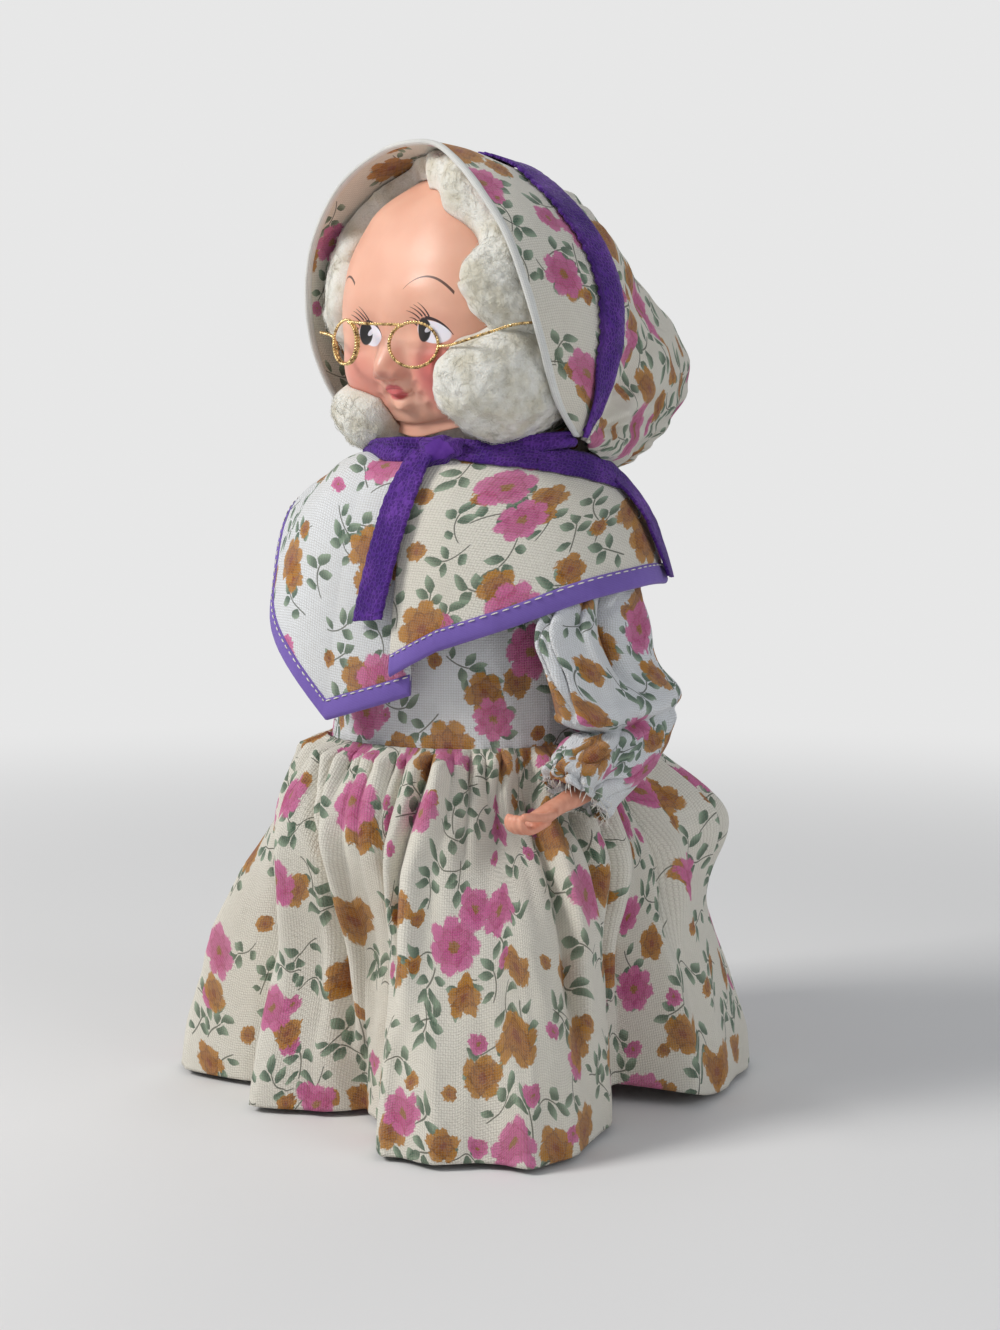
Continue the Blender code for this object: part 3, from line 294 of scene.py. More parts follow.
def mesh_piece(name, points, faces, finish, body, flats=None):
    """Object from points and faces riding on a body; flats holds each face corner's place on the cloth."""
    mesh = bpy.data.meshes.new(name)
    work = bmesh.new()
    corners = [work.verts.new(point) for point in points]
    layer = work.loops.layers.uv.new("flat") if flats else None
    for number, face in enumerate(faces):
        made_face = work.faces.new([corners[index] for index in face])
        made_face.smooth = True
        if flats:
            for loop, place in zip(made_face.loops, flats[number]):
                loop[layer].uv = place
    bmesh.ops.recalc_face_normals(work, faces=work.faces)
    work.to_mesh(mesh)
    work.free()
    mesh.materials.append(finish)
    made = put_in_scene(name, mesh)
    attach(made, body)
    return made


def grid_faces(rows, columns, closed=False):
    """Quads of a grid of points, and each corner's row and column."""
    faces = []
    corners = []
    for row in range(rows - 1):
        for column in range(columns if closed else columns - 1):
            spots = ((row, column), (row, column + 1), (row + 1, column + 1), (row + 1, column))
            faces.append(tuple(r * columns + c % columns for r, c in spots))
            corners.append(spots)
    return faces, corners


def cloth_piece(name, grid, flat, finish, body, thickness=CLOTH, closed=False):
    """Sheet of cloth through a grid of points; flat(row, column) gives its place before sewing."""
    faces, corners = grid_faces(len(grid), len(grid[0]), closed)
    flats = [[flat(row, column) for row, column in spots] for spots in corners]
    made = mesh_piece(name, [point for row in grid for point in row], faces, finish, body, flats)
    solid = made.modifiers.new("Thickness", "SOLIDIFY")
    solid.thickness = thickness
    solid.offset = 0.0
    solid.use_even_offset = False
    return made


def walked(grid):
    """Places on the cloth measured along the rows and columns of a grid, in metres."""
    rows, columns = len(grid), len(grid[0])
    middle = columns // 2
    across = []
    for row in grid:
        line = [0.0]
        for before, after in zip(row, row[1:] + row[:1]):
            line.append(line[-1] + (after - before).length)
        across.append([place - line[middle] for place in line])
    along = [[0.0] * columns]
    for before, after in zip(grid, grid[1:]):
        along.append([along[-1][column] + (after[column] - before[column]).length
                      for column in range(columns)])
    return lambda row, column: (across[row][column], -along[row][column % columns])


def strip_places(grid):
    """Places on a straight strip of cloth that is closed round the doll: across at its lowest row, and down."""
    lowest = walked(grid[-1:])
    drop = walked(grid)
    return lambda row, column: (lowest(0, column)[0], drop(row, column)[1])


def rings_round(centres, sizes, sides, axis, twist=0.0):
    """Rings of points round a line, each turned on from the one before by the given twist."""
    rings = []
    last = len(centres) - 1
    for index, (centre, size) in enumerate(zip(centres, sizes)):
        run = (centres[min(index + 1, last)] - centres[max(index - 1, 0)]).normalized()
        axis = (axis - run * axis.dot(run)).normalized()
        other = run.cross(axis)
        turns = [index * twist + math.tau * step / sides for step in range(sides)]
        rings.append([centre + (axis * math.cos(turn) + other * math.sin(turn)) * size for turn in turns])
    return rings


def capped_faces(rings, start=0):
    """Faces of a tube through rings of points, then its two ends, and the tube's corners by row and column."""
    sides = len(rings[0])
    faces, corners = grid_faces(len(rings), sides, closed=True)
    last = (len(rings) - 1) * sides
    faces += [tuple(range(sides)), tuple(range(last, last + sides))]
    return [tuple(corner + start for corner in face) for face in faces], corners


def capped_piece(name, rings, finish, body, flat=None):
    """Tube through rings of points, closed at both ends; flat(row, column) gives its place on the cloth."""
    faces, corners = capped_faces(rings)
    flats = None
    if flat:
        flats = [[flat(row, column) for row, column in spots] for spots in corners]
        flats += [[(0.0, 0.0)] * len(rings[0])] * 2
    return mesh_piece(name, [point for ring in rings for point in ring], faces, finish, body, flats)


def threads(name, runs, radius, sides, finish, body):
    """Many threads as one piece, each thinner at its two ends."""
    points = []
    faces = []
    for run in runs:
        sizes = [radius * 0.35] + [radius] * (len(run) - 2) + [radius * 0.35]
        rings = rings_round(run, sizes, sides, Vector((0.37, 0.61, 0.70)))
        faces += capped_faces(rings, len(points))[0]
        points += [point for ring in rings for point in ring]
    return mesh_piece(name, points, faces, finish, body)


# Nodes

SOCKET_KINDS = {1: "NodeSocketFloat", 3: "NodeSocketVector", 4: "NodeSocketColor"}


def new_group(name, inputs, outputs):
    """Empty shader node group with inputs by name and value and outputs by name, and its two end nodes."""
    tree = bpy.data.node_groups.new(name, "ShaderNodeTree")
    for label, value in inputs.items():
        kind = SOCKET_KINDS[len(value) if isinstance(value, tuple) else 1]
        tree.interface.new_socket(name=label, in_out="INPUT", socket_type=kind).default_value = value
    for label in outputs:
        kind = SOCKET_KINDS[4 if label == "Color" else 1]
        tree.interface.new_socket(name=label, in_out="OUTPUT", socket_type=kind)
    return tree, tree.nodes.new("NodeGroupInput").outputs, tree.nodes.new("NodeGroupOutput").inputs


def feed(tree, socket, value):
    """Give a socket a value, or link another socket to it."""
    if isinstance(value, bpy.types.NodeSocket):
        tree.links.new(value, socket)
    elif isinstance(value, tuple) and len(value) == 3 and socket.type == "RGBA":
        socket.default_value = (*value, 1.0)
    else:
        socket.default_value = value


def maths(tree, operation, first, second=0.0, third=0.0):
    """Result of one Math node."""
    made = tree.nodes.new("ShaderNodeMath")
    made.operation = operation
    for socket, value in zip(made.inputs, (first, second, third)):
        feed(tree, socket, value)
    return made.outputs[0]


def vectors(tree, operation, first, second=ORIGIN, scale=None):
    """Result of one Vector Math node."""
    made = tree.nodes.new("ShaderNodeVectorMath")
    made.operation = operation
    feed(tree, made.inputs[0], first)
    feed(tree, made.inputs[1], second)
    if scale is not None:
        feed(tree, made.inputs["Scale"], scale)
    return made.outputs["Value"] if operation in ("LENGTH", "DISTANCE", "DOT_PRODUCT") else made.outputs[0]


def parts_of(tree, vector):
    """The x, y and z of a vector."""
    made = tree.nodes.new("ShaderNodeSeparateXYZ")
    feed(tree, made.inputs[0], vector)
    return made.outputs


def joined(tree, x, y, z=0.0):
    """Vector from its three parts."""
    made = tree.nodes.new("ShaderNodeCombineXYZ")
    for socket, value in zip(made.inputs, (x, y, z)):
        feed(tree, socket, value)
    return made.outputs[0]


def fade(tree, value, low, high, start=0.0, end=1.0):
    """Value taken smoothly from one range to another."""
    made = tree.nodes.new("ShaderNodeMapRange")
    made.interpolation_type = "SMOOTHSTEP"
    for socket, number in zip(made.inputs, (value, low, high, start, end)):
        feed(tree, socket, number)
    return made.outputs[0]


def mix(tree, share, first, second):
    """Colour between two others."""
    made = tree.nodes.new("ShaderNodeMix")
    made.data_type = "RGBA"
    feed(tree, made.inputs[0], share)
    feed(tree, made.inputs[6], first)
    feed(tree, made.inputs[7], second)
    return made.outputs[2]


def noisy(tree, place, scale, detail=2.0):
    """Value of a noise texture."""
    made = tree.nodes.new("ShaderNodeTexNoise")
    feed(tree, made.inputs["Vector"], place)
    made.inputs["Scale"].default_value = scale
    made.inputs["Detail"].default_value = detail
    return made.outputs["Fac"]


def rotated(tree, vector, angle):
    """Vector turned round Z."""
    made = tree.nodes.new("ShaderNodeVectorRotate")
    made.rotation_type = "Z_AXIS"
    feed(tree, made.inputs["Vector"], vector)
    feed(tree, made.inputs["Angle"], angle)
    return made.outputs[0]


def scattered(tree, place, spacing, randomness):
    """Cells of a scattered print: the place from each cell's middle, and the cell's three random picks."""
    cells = tree.nodes.new("ShaderNodeTexVoronoi")
    cells.voronoi_dimensions = "2D"
    cells.inputs["Randomness"].default_value = randomness
    feed(tree, cells.inputs["Vector"], place)
    feed(tree, cells.inputs["Scale"], maths(tree, "DIVIDE", 1.0, spacing))
    pick = tree.nodes.new("ShaderNodeSeparateColor")
    feed(tree, pick.inputs[0], cells.outputs["Color"])
    return vectors(tree, "SUBTRACT", place, cells.outputs["Position"]), pick.outputs


def placed(tree, group, values):
    """A node group placed in a tree with its own values."""
    made = tree.nodes.new("ShaderNodeGroup")
    made.node_tree = group
    for label, value in values.items():
        feed(tree, made.inputs[label], value)
    return made.outputs


def colour(red, green, blue):
    """Colour written as on a screen, from 0 to 255, as the light values that nodes use."""
    return tuple((part / 255.0 / 12.92) if part < 10.3 else ((part / 255.0 + 0.055) / 1.055) ** 2.4
                 for part in (red, green, blue))


def weave_group():
    """Plain weave: threads that pass over and under each other, and a tint of the threads' slub with painted shade in
    the low places between them.
    """
    tree, given, result = new_group("plain weave", {"Place": ORIGIN, "Pitch": 0.0005}, ("Height", "Tint"))
    wobble = maths(tree, "MULTIPLY_ADD", noisy(tree, given["Place"], 900.0), 0.00016, -0.00008)
    x, y, _ = parts_of(tree, vectors(tree, "ADD", given["Place"], joined(tree, wobble, wobble)))
    turn = maths(tree, "DIVIDE", math.pi, given["Pitch"])
    first = maths(tree, "SINE", maths(tree, "MULTIPLY", x, turn))
    second = maths(tree, "SINE", maths(tree, "MULTIPLY", y, turn))
    over = fade(tree, maths(tree, "MULTIPLY", first, second), -0.25, 0.25)
    warp = maths(tree, "ABSOLUTE", first)
    weft = maths(tree, "ABSOLUTE", second)
    height = maths(tree, "ADD", maths(tree, "MULTIPLY", warp, over),
                   maths(tree, "MULTIPLY", weft, maths(tree, "SUBTRACT", 1.0, over)))
    feed(tree, result["Height"], height)
    slub = noisy(tree, given["Place"], 420.0)
    # The tint: the slub's own tone, and painted shade where the weave is low between the threads.
    feed(tree, result["Tint"], maths(tree, "MULTIPLY_ADD", slub, 0.35, maths(tree, "MULTIPLY", height, 0.65)))
    return tree


def bloom_group():
    """Scattered flowers with ragged petals: their mask, petal shade, heart and a random pick."""
    tree, given, result = new_group(
        "printed bloom", {"Place": ORIGIN, "Spacing": 0.025, "Radius": 0.008, "Petals": 6.0, "Chance": 1.0,
                          "Shift": ORIGIN}, ("Mask", "Shade", "Heart", "Pick", "Edge"))
    moved = vectors(tree, "ADD", given["Place"], given["Shift"])
    jagged = tree.nodes.new("ShaderNodeTexNoise")
    jagged.inputs["Scale"].default_value = 860.0
    jagged.inputs["Detail"].default_value = 3.0
    feed(tree, jagged.inputs["Vector"], moved)
    ragged = vectors(tree, "SUBTRACT", jagged.outputs["Color"], (0.5, 0.5, 0.5))
    rough = vectors(tree, "ADD", moved, vectors(tree, "SCALE", ragged, scale=0.0027))
    local, pick = scattered(tree, rough, given["Spacing"], 0.62)
    x, y, _ = parts_of(tree, local)
    reach = vectors(tree, "LENGTH", joined(tree, x, y))
    angle = maths(tree, "ADD", maths(tree, "ARCTAN2", y, x), maths(tree, "MULTIPLY", pick[0], 6.283))
    half = maths(tree, "MULTIPLY", maths(tree, "MULTIPLY", angle, given["Petals"]), 0.5)
    petal = maths(tree, "ABSOLUTE", maths(tree, "SINE", half))
    inner_petal = maths(tree, "ABSOLUTE", maths(tree, "COSINE", half))
    size = maths(tree, "MULTIPLY", given["Radius"], maths(tree, "MULTIPLY_ADD", pick[0], 0.30, 0.78))
    rim = maths(tree, "MULTIPLY", size, maths(tree, "MULTIPLY_ADD", maths(tree, "POWER", petal, 0.6), 0.27, 0.73))
    share = maths(tree, "DIVIDE", reach, rim)
    inner_rim = maths(tree, "MULTIPLY", size,
                      maths(tree, "MULTIPLY_ADD", maths(tree, "POWER", inner_petal, 0.7), 0.20, 0.40))
    inner_share = maths(tree, "DIVIDE", reach, inner_rim)
    held = maths(tree, "LESS_THAN", pick[1], given["Chance"])
    mask = maths(tree, "MULTIPLY", fade(tree, share, 1.05, 0.94), held)
    ring = fade(tree, maths(tree, "ABSOLUTE", maths(tree, "SUBTRACT", inner_share, 1.0)), 0.16, 0.03)
    split = maths(tree, "MULTIPLY", fade(tree, petal, 0.34, 0.06), fade(tree, share, 0.45, 0.65))
    inner_split = maths(tree, "MULTIPLY", fade(tree, inner_petal, 0.34, 0.06), fade(tree, inner_share, 0.95, 0.7))
    streak = fade(tree, noisy(tree, joined(tree, maths(tree, "MULTIPLY", angle, 2.6),
                                           maths(tree, "MULTIPLY", share, 0.5)), 3.0), 0.52, 0.72, 0.0, 0.6)
    dark = maths(tree, "MAXIMUM", maths(tree, "MAXIMUM", ring, split), maths(tree, "MAXIMUM", inner_split, streak))
    feed(tree, result["Mask"], mask)
    feed(tree, result["Shade"], dark)
    feed(tree, result["Heart"], fade(tree, share, 0.26, 0.16))
    feed(tree, result["Pick"], pick[2])
    feed(tree, result["Edge"], share)
    return tree


# Leaves of a printed sprig: base along and off the stem, heading, length and half width
SPRIG_LEAVES = ((0.0020, 0.0, 8.0, 0.0056, 0.00155), (0.0008, 0.0004, 66.0, 0.0050, 0.00150),
                (-0.0004, -0.0004, -60.0, 0.0050, 0.00150), (-0.0038, 0.0004, 108.0, 0.0042, 0.00125))


def sprig_group():
    """Scattered sprigs: a curved stem with four leaves, as a leaf mask, a stem mask and a leaf shade."""
    tree, given, result = new_group("printed sprig", {"Place": ORIGIN, "Spacing": 0.016, "Shift": ORIGIN,
                                                      "Chance": 0.9}, ("Leaf", "Stem", "Shade"))
    moved = vectors(tree, "ADD", given["Place"], given["Shift"])
    local, pick = scattered(tree, moved, given["Spacing"], 0.8)
    u, v, _ = parts_of(tree, rotated(tree, local, maths(tree, "MULTIPLY", pick[0], 6.283)))
    bend = maths(tree, "MULTIPLY_ADD", pick[2], 160.0, -80.0)
    curve = maths(tree, "MULTIPLY", maths(tree, "MULTIPLY", u, u), bend)
    off = maths(tree, "SUBTRACT", v, curve)
    inside = fade(tree, maths(tree, "ABSOLUTE", maths(tree, "ADD", u, 0.0022)), 0.0046, 0.0040)
    stem = maths(tree, "MULTIPLY", fade(tree, maths(tree, "ABSOLUTE", off), 0.00032, 0.00012), inside)
    edge = maths(tree, "MULTIPLY_ADD", noisy(tree, moved, 1500.0), 0.0006, -0.0003)
    leaf = 0.0
    shade = 0.0
    for along, beside, heading, length, width in SPRIG_LEAVES:
        side, ahead = math.sin(math.radians(heading)), math.cos(math.radians(heading))
        du = maths(tree, "SUBTRACT", u, along)
        dv = maths(tree, "SUBTRACT", off, beside)
        share = maths(tree, "MULTIPLY_ADD", du, ahead / length, maths(tree, "MULTIPLY", dv, side / length))
        across = maths(tree, "MULTIPLY_ADD", dv, ahead, maths(tree, "MULTIPLY", du, -side))
        round_off = maths(tree, "MULTIPLY", maths(tree, "MULTIPLY", share, maths(tree, "SUBTRACT", 1.0, share)),
                          4.0 * width)
        gap = maths(tree, "ADD", maths(tree, "SUBTRACT", maths(tree, "ABSOLUTE", across), round_off), edge)
        mask = fade(tree, gap, 0.00014, -0.00014)
        leaf = maths(tree, "MAXIMUM", leaf, mask)
        pale = maths(tree, "ADD", share, maths(tree, "MULTIPLY", across, 180.0))
        shade = maths(tree, "MAXIMUM", shade, maths(tree, "MULTIPLY", mask, fade(tree, pale, 0.25, 1.0)))
    held = maths(tree, "LESS_THAN", pick[1], given["Chance"])
    feed(tree, result["Leaf"], maths(tree, "MULTIPLY", leaf, held))
    feed(tree, result["Stem"], maths(tree, "MULTIPLY", stem, held))
    feed(tree, result["Shade"], shade)
    return tree


# Layers of the print. Sprigs: shift and chance. Flowers from the small buds up to the large ones: spacing, radius,
# petals, chance, shift and share that is ochre
SPRIG_LAYERS = (((0.031, 0.017, 0.0), 0.80), ((0.0075, 0.0410, 0.0), 0.55))
FLOWER_LAYERS = ((0.0165, 0.0031, 1.0, 0.60, (0.011, 0.023, 0.0), 0.6),
                 (0.0225, 0.0062, 5.0, 0.60, (0.043, 0.009, 0.0), 0.78),
                 (0.0300, 0.0084, 7.0, 0.78, (0.005, 0.033, 0.0), 0.34))


def print_group(bloom, sprig):
    """The dress's print: pink and ochre flowers, small buds and green sprigs on off-white cotton."""
    tree, given, result = new_group("floral print", {"Place": ORIGIN, "Ground": (0.75, 0.72, 0.64, 1.0)}, ("Color",))
    place = given["Place"]
    shade = given["Ground"]
    for shift, chance in SPRIG_LAYERS:
        twig = placed(tree, sprig, {"Place": place, "Spacing": 0.0168, "Shift": shift, "Chance": chance})
        green = mix(tree, twig["Shade"], colour(64, 98, 78), colour(142, 166, 142))
        shade = mix(tree, maths(tree, "MULTIPLY", twig["Stem"], 0.85), shade, colour(60, 72, 58))
        shade = mix(tree, maths(tree, "MULTIPLY", twig["Leaf"], 0.92), shade, green)
    for spacing, radius, petals, chance, shift, ochre_share in FLOWER_LAYERS:
        flower = placed(tree, bloom, {"Place": place, "Spacing": spacing, "Radius": radius, "Petals": petals,
                                      "Chance": chance, "Shift": shift})
        ochre = maths(tree, "LESS_THAN", flower["Pick"], ochre_share)
        pale = fade(tree, flower["Edge"], 0.35, 0.95)
        pink_petal = mix(tree, pale, colour(198, 84, 144), colour(216, 112, 166))
        ochre_petal = mix(tree, pale, colour(164, 98, 22), colour(188, 128, 40))
        petal = mix(tree, ochre, pink_petal, ochre_petal)
        line = mix(tree, ochre, colour(178, 66, 118), colour(118, 62, 16))
        tone = mix(tree, maths(tree, "MULTIPLY", flower["Shade"], 0.70), petal, line)
        heart = mix(tree, ochre, colour(150, 96, 46), colour(136, 60, 22))
        tone = mix(tree, flower["Heart"], tone, heart)
        shade = mix(tree, maths(tree, "MULTIPLY", flower["Mask"], 0.94), shade, tone)
    feed(tree, result["Color"], shade)
    return tree


def worn_group():
    """Large soft patches of age, for colour and roughness."""
    tree, given, result = new_group("soft age", {"Place": ORIGIN, "Scale": 30.0}, ("Patch", "Grain"))
    made = tree.nodes.new("ShaderNodeTexNoise")
    feed(tree, made.inputs["Vector"], given["Place"])
    feed(tree, made.inputs["Scale"], given["Scale"])
    made.inputs["Detail"].default_value = 4.0
    feed(tree, result["Patch"], fade(tree, made.outputs["Fac"], 0.35, 0.70))
    feed(tree, result["Grain"], noisy(tree, given["Place"], 1400.0))
    return tree


GROUPS = {}


def make_groups():
    """Shared shader node groups, built once."""
    GROUPS["weave"] = weave_group()
    GROUPS["print"] = print_group(bloom_group(), sprig_group())
    GROUPS["age"] = worn_group()
    GROUPS["stroke"] = brush_group()
    GROUPS["oval"] = oval_group()


def new_material(name, roughness, metallic=0.0, sheen=0.0, specular=0.5, glow=None):
    """Principled material, its tree and its shader; glow is the weight, radius and scale of light under the skin."""
    made = bpy.data.materials.new(name)
    made.use_nodes = True
    shader = made.node_tree.nodes["Principled BSDF"]
    shader.inputs["Roughness"].default_value = roughness
    shader.inputs["Metallic"].default_value = metallic
    shader.inputs["Sheen Weight"].default_value = sheen
    shader.inputs["Specular IOR Level"].default_value = specular
    if glow:
        for label, value in zip(("Weight", "Radius", "Scale"), glow):
            shader.inputs["Subsurface " + label].default_value = value
    return made, made.node_tree, shader


def dressed(made, tree, shader, tone, roughness, height, strength, distance):
    """The material with its colour, its roughness and its fine relief."""
    feed(tree, shader.inputs["Base Color"], tone)
    feed(tree, shader.inputs["Roughness"], roughness)
    relief = tree.nodes.new("ShaderNodeBump")
    relief.inputs["Strength"].default_value = strength
    relief.inputs["Distance"].default_value = distance
    feed(tree, relief.inputs["Height"], height)
    feed(tree, shader.inputs["Normal"], relief.outputs[0])
    return made


def flat_place(tree):
    """Place on the cloth before it was sewn, in metres."""
    made = tree.nodes.new("ShaderNodeUVMap")
    made.uv_map = "flat"
    return made.outputs[0]


def object_place(tree):
    """Place in the piece's own frame, in metres."""
    return tree.nodes.new("ShaderNodeTexCoord").outputs["Object"]


def printed_cotton(name, ground, shift):
    """Printed plain-weave cotton whose print starts at its own place."""
    made, tree, shader = new_material(name, 0.86, sheen=0.12, specular=0.25)
    place = vectors(tree, "ADD", flat_place(tree), shift)
    cloth = placed(tree, GROUPS["print"], {"Place": place, "Ground": (*ground, 1.0)})
    weave = placed(tree, GROUPS["weave"], {"Place": place, "Pitch": 0.00080})
    age = placed(tree, GROUPS["age"], {"Place": object_place(tree), "Scale": 26.0})
    dull = mix(tree, maths(tree, "MULTIPLY", age["Patch"], 0.10), cloth["Color"], colour(196, 178, 146))
    # Darker where the weave is low between the threads: painted shade, with the slub's own tone.
    tone = mix(tree, fade(tree, weave["Tint"], 0.20, 0.75, 0.34, 0.0), dull, colour(156, 146, 130))
    rough = fade(tree, age["Grain"], 0.3, 0.7, 0.80, 0.92)
    return dressed(made, tree, shader, tone, rough, weave["Height"], 0.7, 0.0003)


def plain_cotton(name, tone, pitch, depth):
    """Plain-weave cotton of one dyed colour."""
    made, tree, shader = new_material(name, 0.85, sheen=0.15, specular=0.25)
    weave = placed(tree, GROUPS["weave"], {"Place": flat_place(tree), "Pitch": pitch})
    age = placed(tree, GROUPS["age"], {"Place": object_place(tree), "Scale": 60.0})
    darker = tuple(part * 0.62 for part in tone)
    lighter = tuple(min(part * 1.25 + 0.02, 1.0) for part in tone)
    worn = mix(tree, maths(tree, "MULTIPLY", age["Patch"], 0.35), tone, lighter)
    # Darker where the weave is low between the threads: painted shade, with the slub's own tone.
    shade = mix(tree, fade(tree, weave["Tint"], 0.1, 0.8, 0.7, 0.0), worn, darker)
    rough = fade(tree, age["Grain"], 0.3, 0.7, 0.78, 0.92)
    return dressed(made, tree, shader, shade, rough, weave["Height"], depth, 0.00022)


def lace_ribbon():
    """Crocheted purple ribbon, with its meshes sunk between its threads and painted dark as painted shade."""
    made, tree, shader = new_material("purple lace", 0.8, sheen=0.1, specular=0.2)
    place = flat_place(tree)
    _, y, _ = parts_of(tree, place)
    loops = tree.nodes.new("ShaderNodeTexVoronoi")
    loops.feature = "DISTANCE_TO_EDGE"
    loops.inputs["Scale"].default_value = 780.0
    loops.inputs["Randomness"].default_value = 0.55
    feed(tree, loops.inputs["Vector"], place)
    thread = fade(tree, loops.outputs["Distance"], 0.0, 0.22)
    rows = maths(tree, "SINE", maths(tree, "MULTIPLY", y, math.tau / 0.0011))
    age = placed(tree, GROUPS["age"], {"Place": object_place(tree), "Scale": 90.0})
    base = mix(tree, age["Patch"], colour(74, 34, 128), colour(108, 60, 160))
    # The sunk openings of the lace painted dark purple: painted shade.
    hole_shade = fade(tree, thread, 0.55, 1.0, 0.0, 0.55)
    tone = mix(tree, hole_shade, base, colour(44, 14, 84))
    height = maths(tree, "SUBTRACT", maths(tree, "MULTIPLY", rows, 0.15), thread)
    return dressed(made, tree, shader, tone, fade(tree, age["Grain"], 0.3, 0.7, 0.7, 0.9), height, 0.8, 0.0003)


def cotton_wool():
    """Teased cotton wool, darker and warmer in the hollows of its lumps and fibres as painted shade."""
    glow = (0.25, (0.004, 0.0035, 0.003), 0.5)
    made, tree, shader = new_material("cotton wool", 0.95, sheen=0.25, specular=0.1, glow=glow)
    place = object_place(tree)
    lumps = noisy(tree, place, 130.0, 5.0)
    fibres = noisy(tree, place, 1700.0, 6.0)
    # Low places of the lumps and fibres, which also make the relief, painted darker and warmer: painted shade.
    tone = mix(tree, fade(tree, lumps, 0.30, 0.62), colour(214, 209, 192), colour(234, 233, 226))
    tone = mix(tree, fade(tree, fibres, 0.35, 0.6, 0.16, 0.0), tone, colour(190, 184, 164))
    height = maths(tree, "MULTIPLY_ADD", lumps, 2.0, fibres)
    return dressed(made, tree, shader, tone, fade(tree, fibres, 0.3, 0.7, 0.9, 1.0), height, 0.6, 0.0007)


def gold_wire():
    """Old gold wire, darker in its hollows."""
    made, tree, shader = new_material("gold wire", 0.3, metallic=1.0)
    tarnish = noisy(tree, object_place(tree), 700.0, 3.0)
    tone = mix(tree, fade(tree, tarnish, 0.4, 0.7), colour(226, 198, 142), colour(112, 84, 50))
    return dressed(made, tree, shader, tone, fade(tree, tarnish, 0.35, 0.7, 0.2, 0.5), tarnish, 0.2, 0.0001)


def simple_finish(name, first, second, roughness, scale, metallic=0.0, coat=0.0, depth=0.2):
    """Plain finish with two tones and a fine bump, for pieces that hardly show."""
    made, tree, shader = new_material(name, roughness, metallic=metallic)
    shader.inputs["Coat Weight"].default_value = coat
    spots = noisy(tree, object_place(tree), scale, 4.0)
    tone = mix(tree, fade(tree, spots, 0.35, 0.65), first, second)
    rough = fade(tree, spots, 0.3, 0.7, roughness * 0.85, min(roughness * 1.1, 1.0))
    return dressed(made, tree, shader, tone, rough, spots, depth, 0.0002)


def brush_group():
    """One curved brush stroke painted on the face, as a mask."""
    tree, given, result = new_group("brush stroke", {"Place": ORIGIN, "Middle": ORIGIN, "Turn": 0.0, "Half": 0.002,
                                                     "Bend": 0.0, "Width": 0.0002}, ("Mask",))
    local = vectors(tree, "SUBTRACT", given["Place"], given["Middle"])
    u, v, _ = parts_of(tree, rotated(tree, local, maths(tree, "MULTIPLY", given["Turn"], -1.0)))
    share = maths(tree, "DIVIDE", u, given["Half"])
    arch = maths(tree, "SUBTRACT", 1.0, maths(tree, "MULTIPLY", share, share))
    off = maths(tree, "ABSOLUTE", maths(tree, "SUBTRACT", v, maths(tree, "MULTIPLY", arch, given["Bend"])))
    taper = maths(tree, "MULTIPLY_ADD", share, -0.42, 0.58)
    width = maths(tree, "MULTIPLY", given["Width"], taper)
    line = fade(tree, maths(tree, "SUBTRACT", off, width), 0.00006, -0.00006)
    held = maths(tree, "LESS_THAN", maths(tree, "ABSOLUTE", share), 1.0)
    feed(tree, result["Mask"], maths(tree, "MULTIPLY", line, held))
    return tree


def oval_group():
    """One painted oval with a soft edge, as a mask."""
    tree, given, result = new_group("painted oval", {"Place": ORIGIN, "Middle": ORIGIN, "Turn": 0.0,
                                                     "Size": (0.002, 0.002, 1.0), "Softness": 0.06}, ("Mask",))
    local = vectors(tree, "SUBTRACT", given["Place"], given["Middle"])
    turned = rotated(tree, local, maths(tree, "MULTIPLY", given["Turn"], -1.0))
    reach = vectors(tree, "LENGTH", vectors(tree, "DIVIDE", turned, given["Size"]))
    high = maths(tree, "ADD", 1.0, given["Softness"])
    low = maths(tree, "SUBTRACT", 1.0, given["Softness"])
    feed(tree, result["Mask"], fade(tree, reach, high, low))
    return tree


# Painted face, as places on it seen from the front: across and up in metres
EYES = ((0.0163, 0.2371), (-0.0094, 0.2373))
LASHES = ((0.0010, 0.0040, -0.0028, 0.0084, 0.0004), (-0.0003, 0.0043, -0.0044, 0.0078, 0.0003),
          (-0.0016, 0.0042, -0.0060, 0.0072, 0.0004), (-0.0029, 0.0036, -0.0076, 0.0062, 0.0004),
          (-0.0038, 0.0028, -0.0070, 0.0042, 0.0003), (-0.0046, 0.0018, -0.0086, 0.0034, 0.0003))
BROWS = ((0.0246, 0.2478, 0.0080, 0.2496, 0.0042), (-0.0150, 0.2526, -0.0262, 0.2522, 0.0030))
MOUTH_HEIGHT = 0.2203
# Blushed cheeks: across and strength. Painted shade round, under and beside the nose, and a painted highlight on its
# tip: middle, size, strength and tone
CHEEKS = ((0.0185, 0.78), (-0.0150, 0.40))
NOSE_PAINTED_SHADE_AND_HIGHLIGHT = (((0.0, 0.2305), (0.0062, 0.0080), 0.18, (192, 112, 98)),
               ((0.0, 0.2245), (0.0046, 0.0011), 0.40, (176, 88, 78)),
               ((0.0048, 0.2290), (0.0020, 0.0042), 0.34, (186, 100, 86)),
               ((-0.0006, 0.2300), (0.0026, 0.0030), 0.34, (246, 198, 176)))


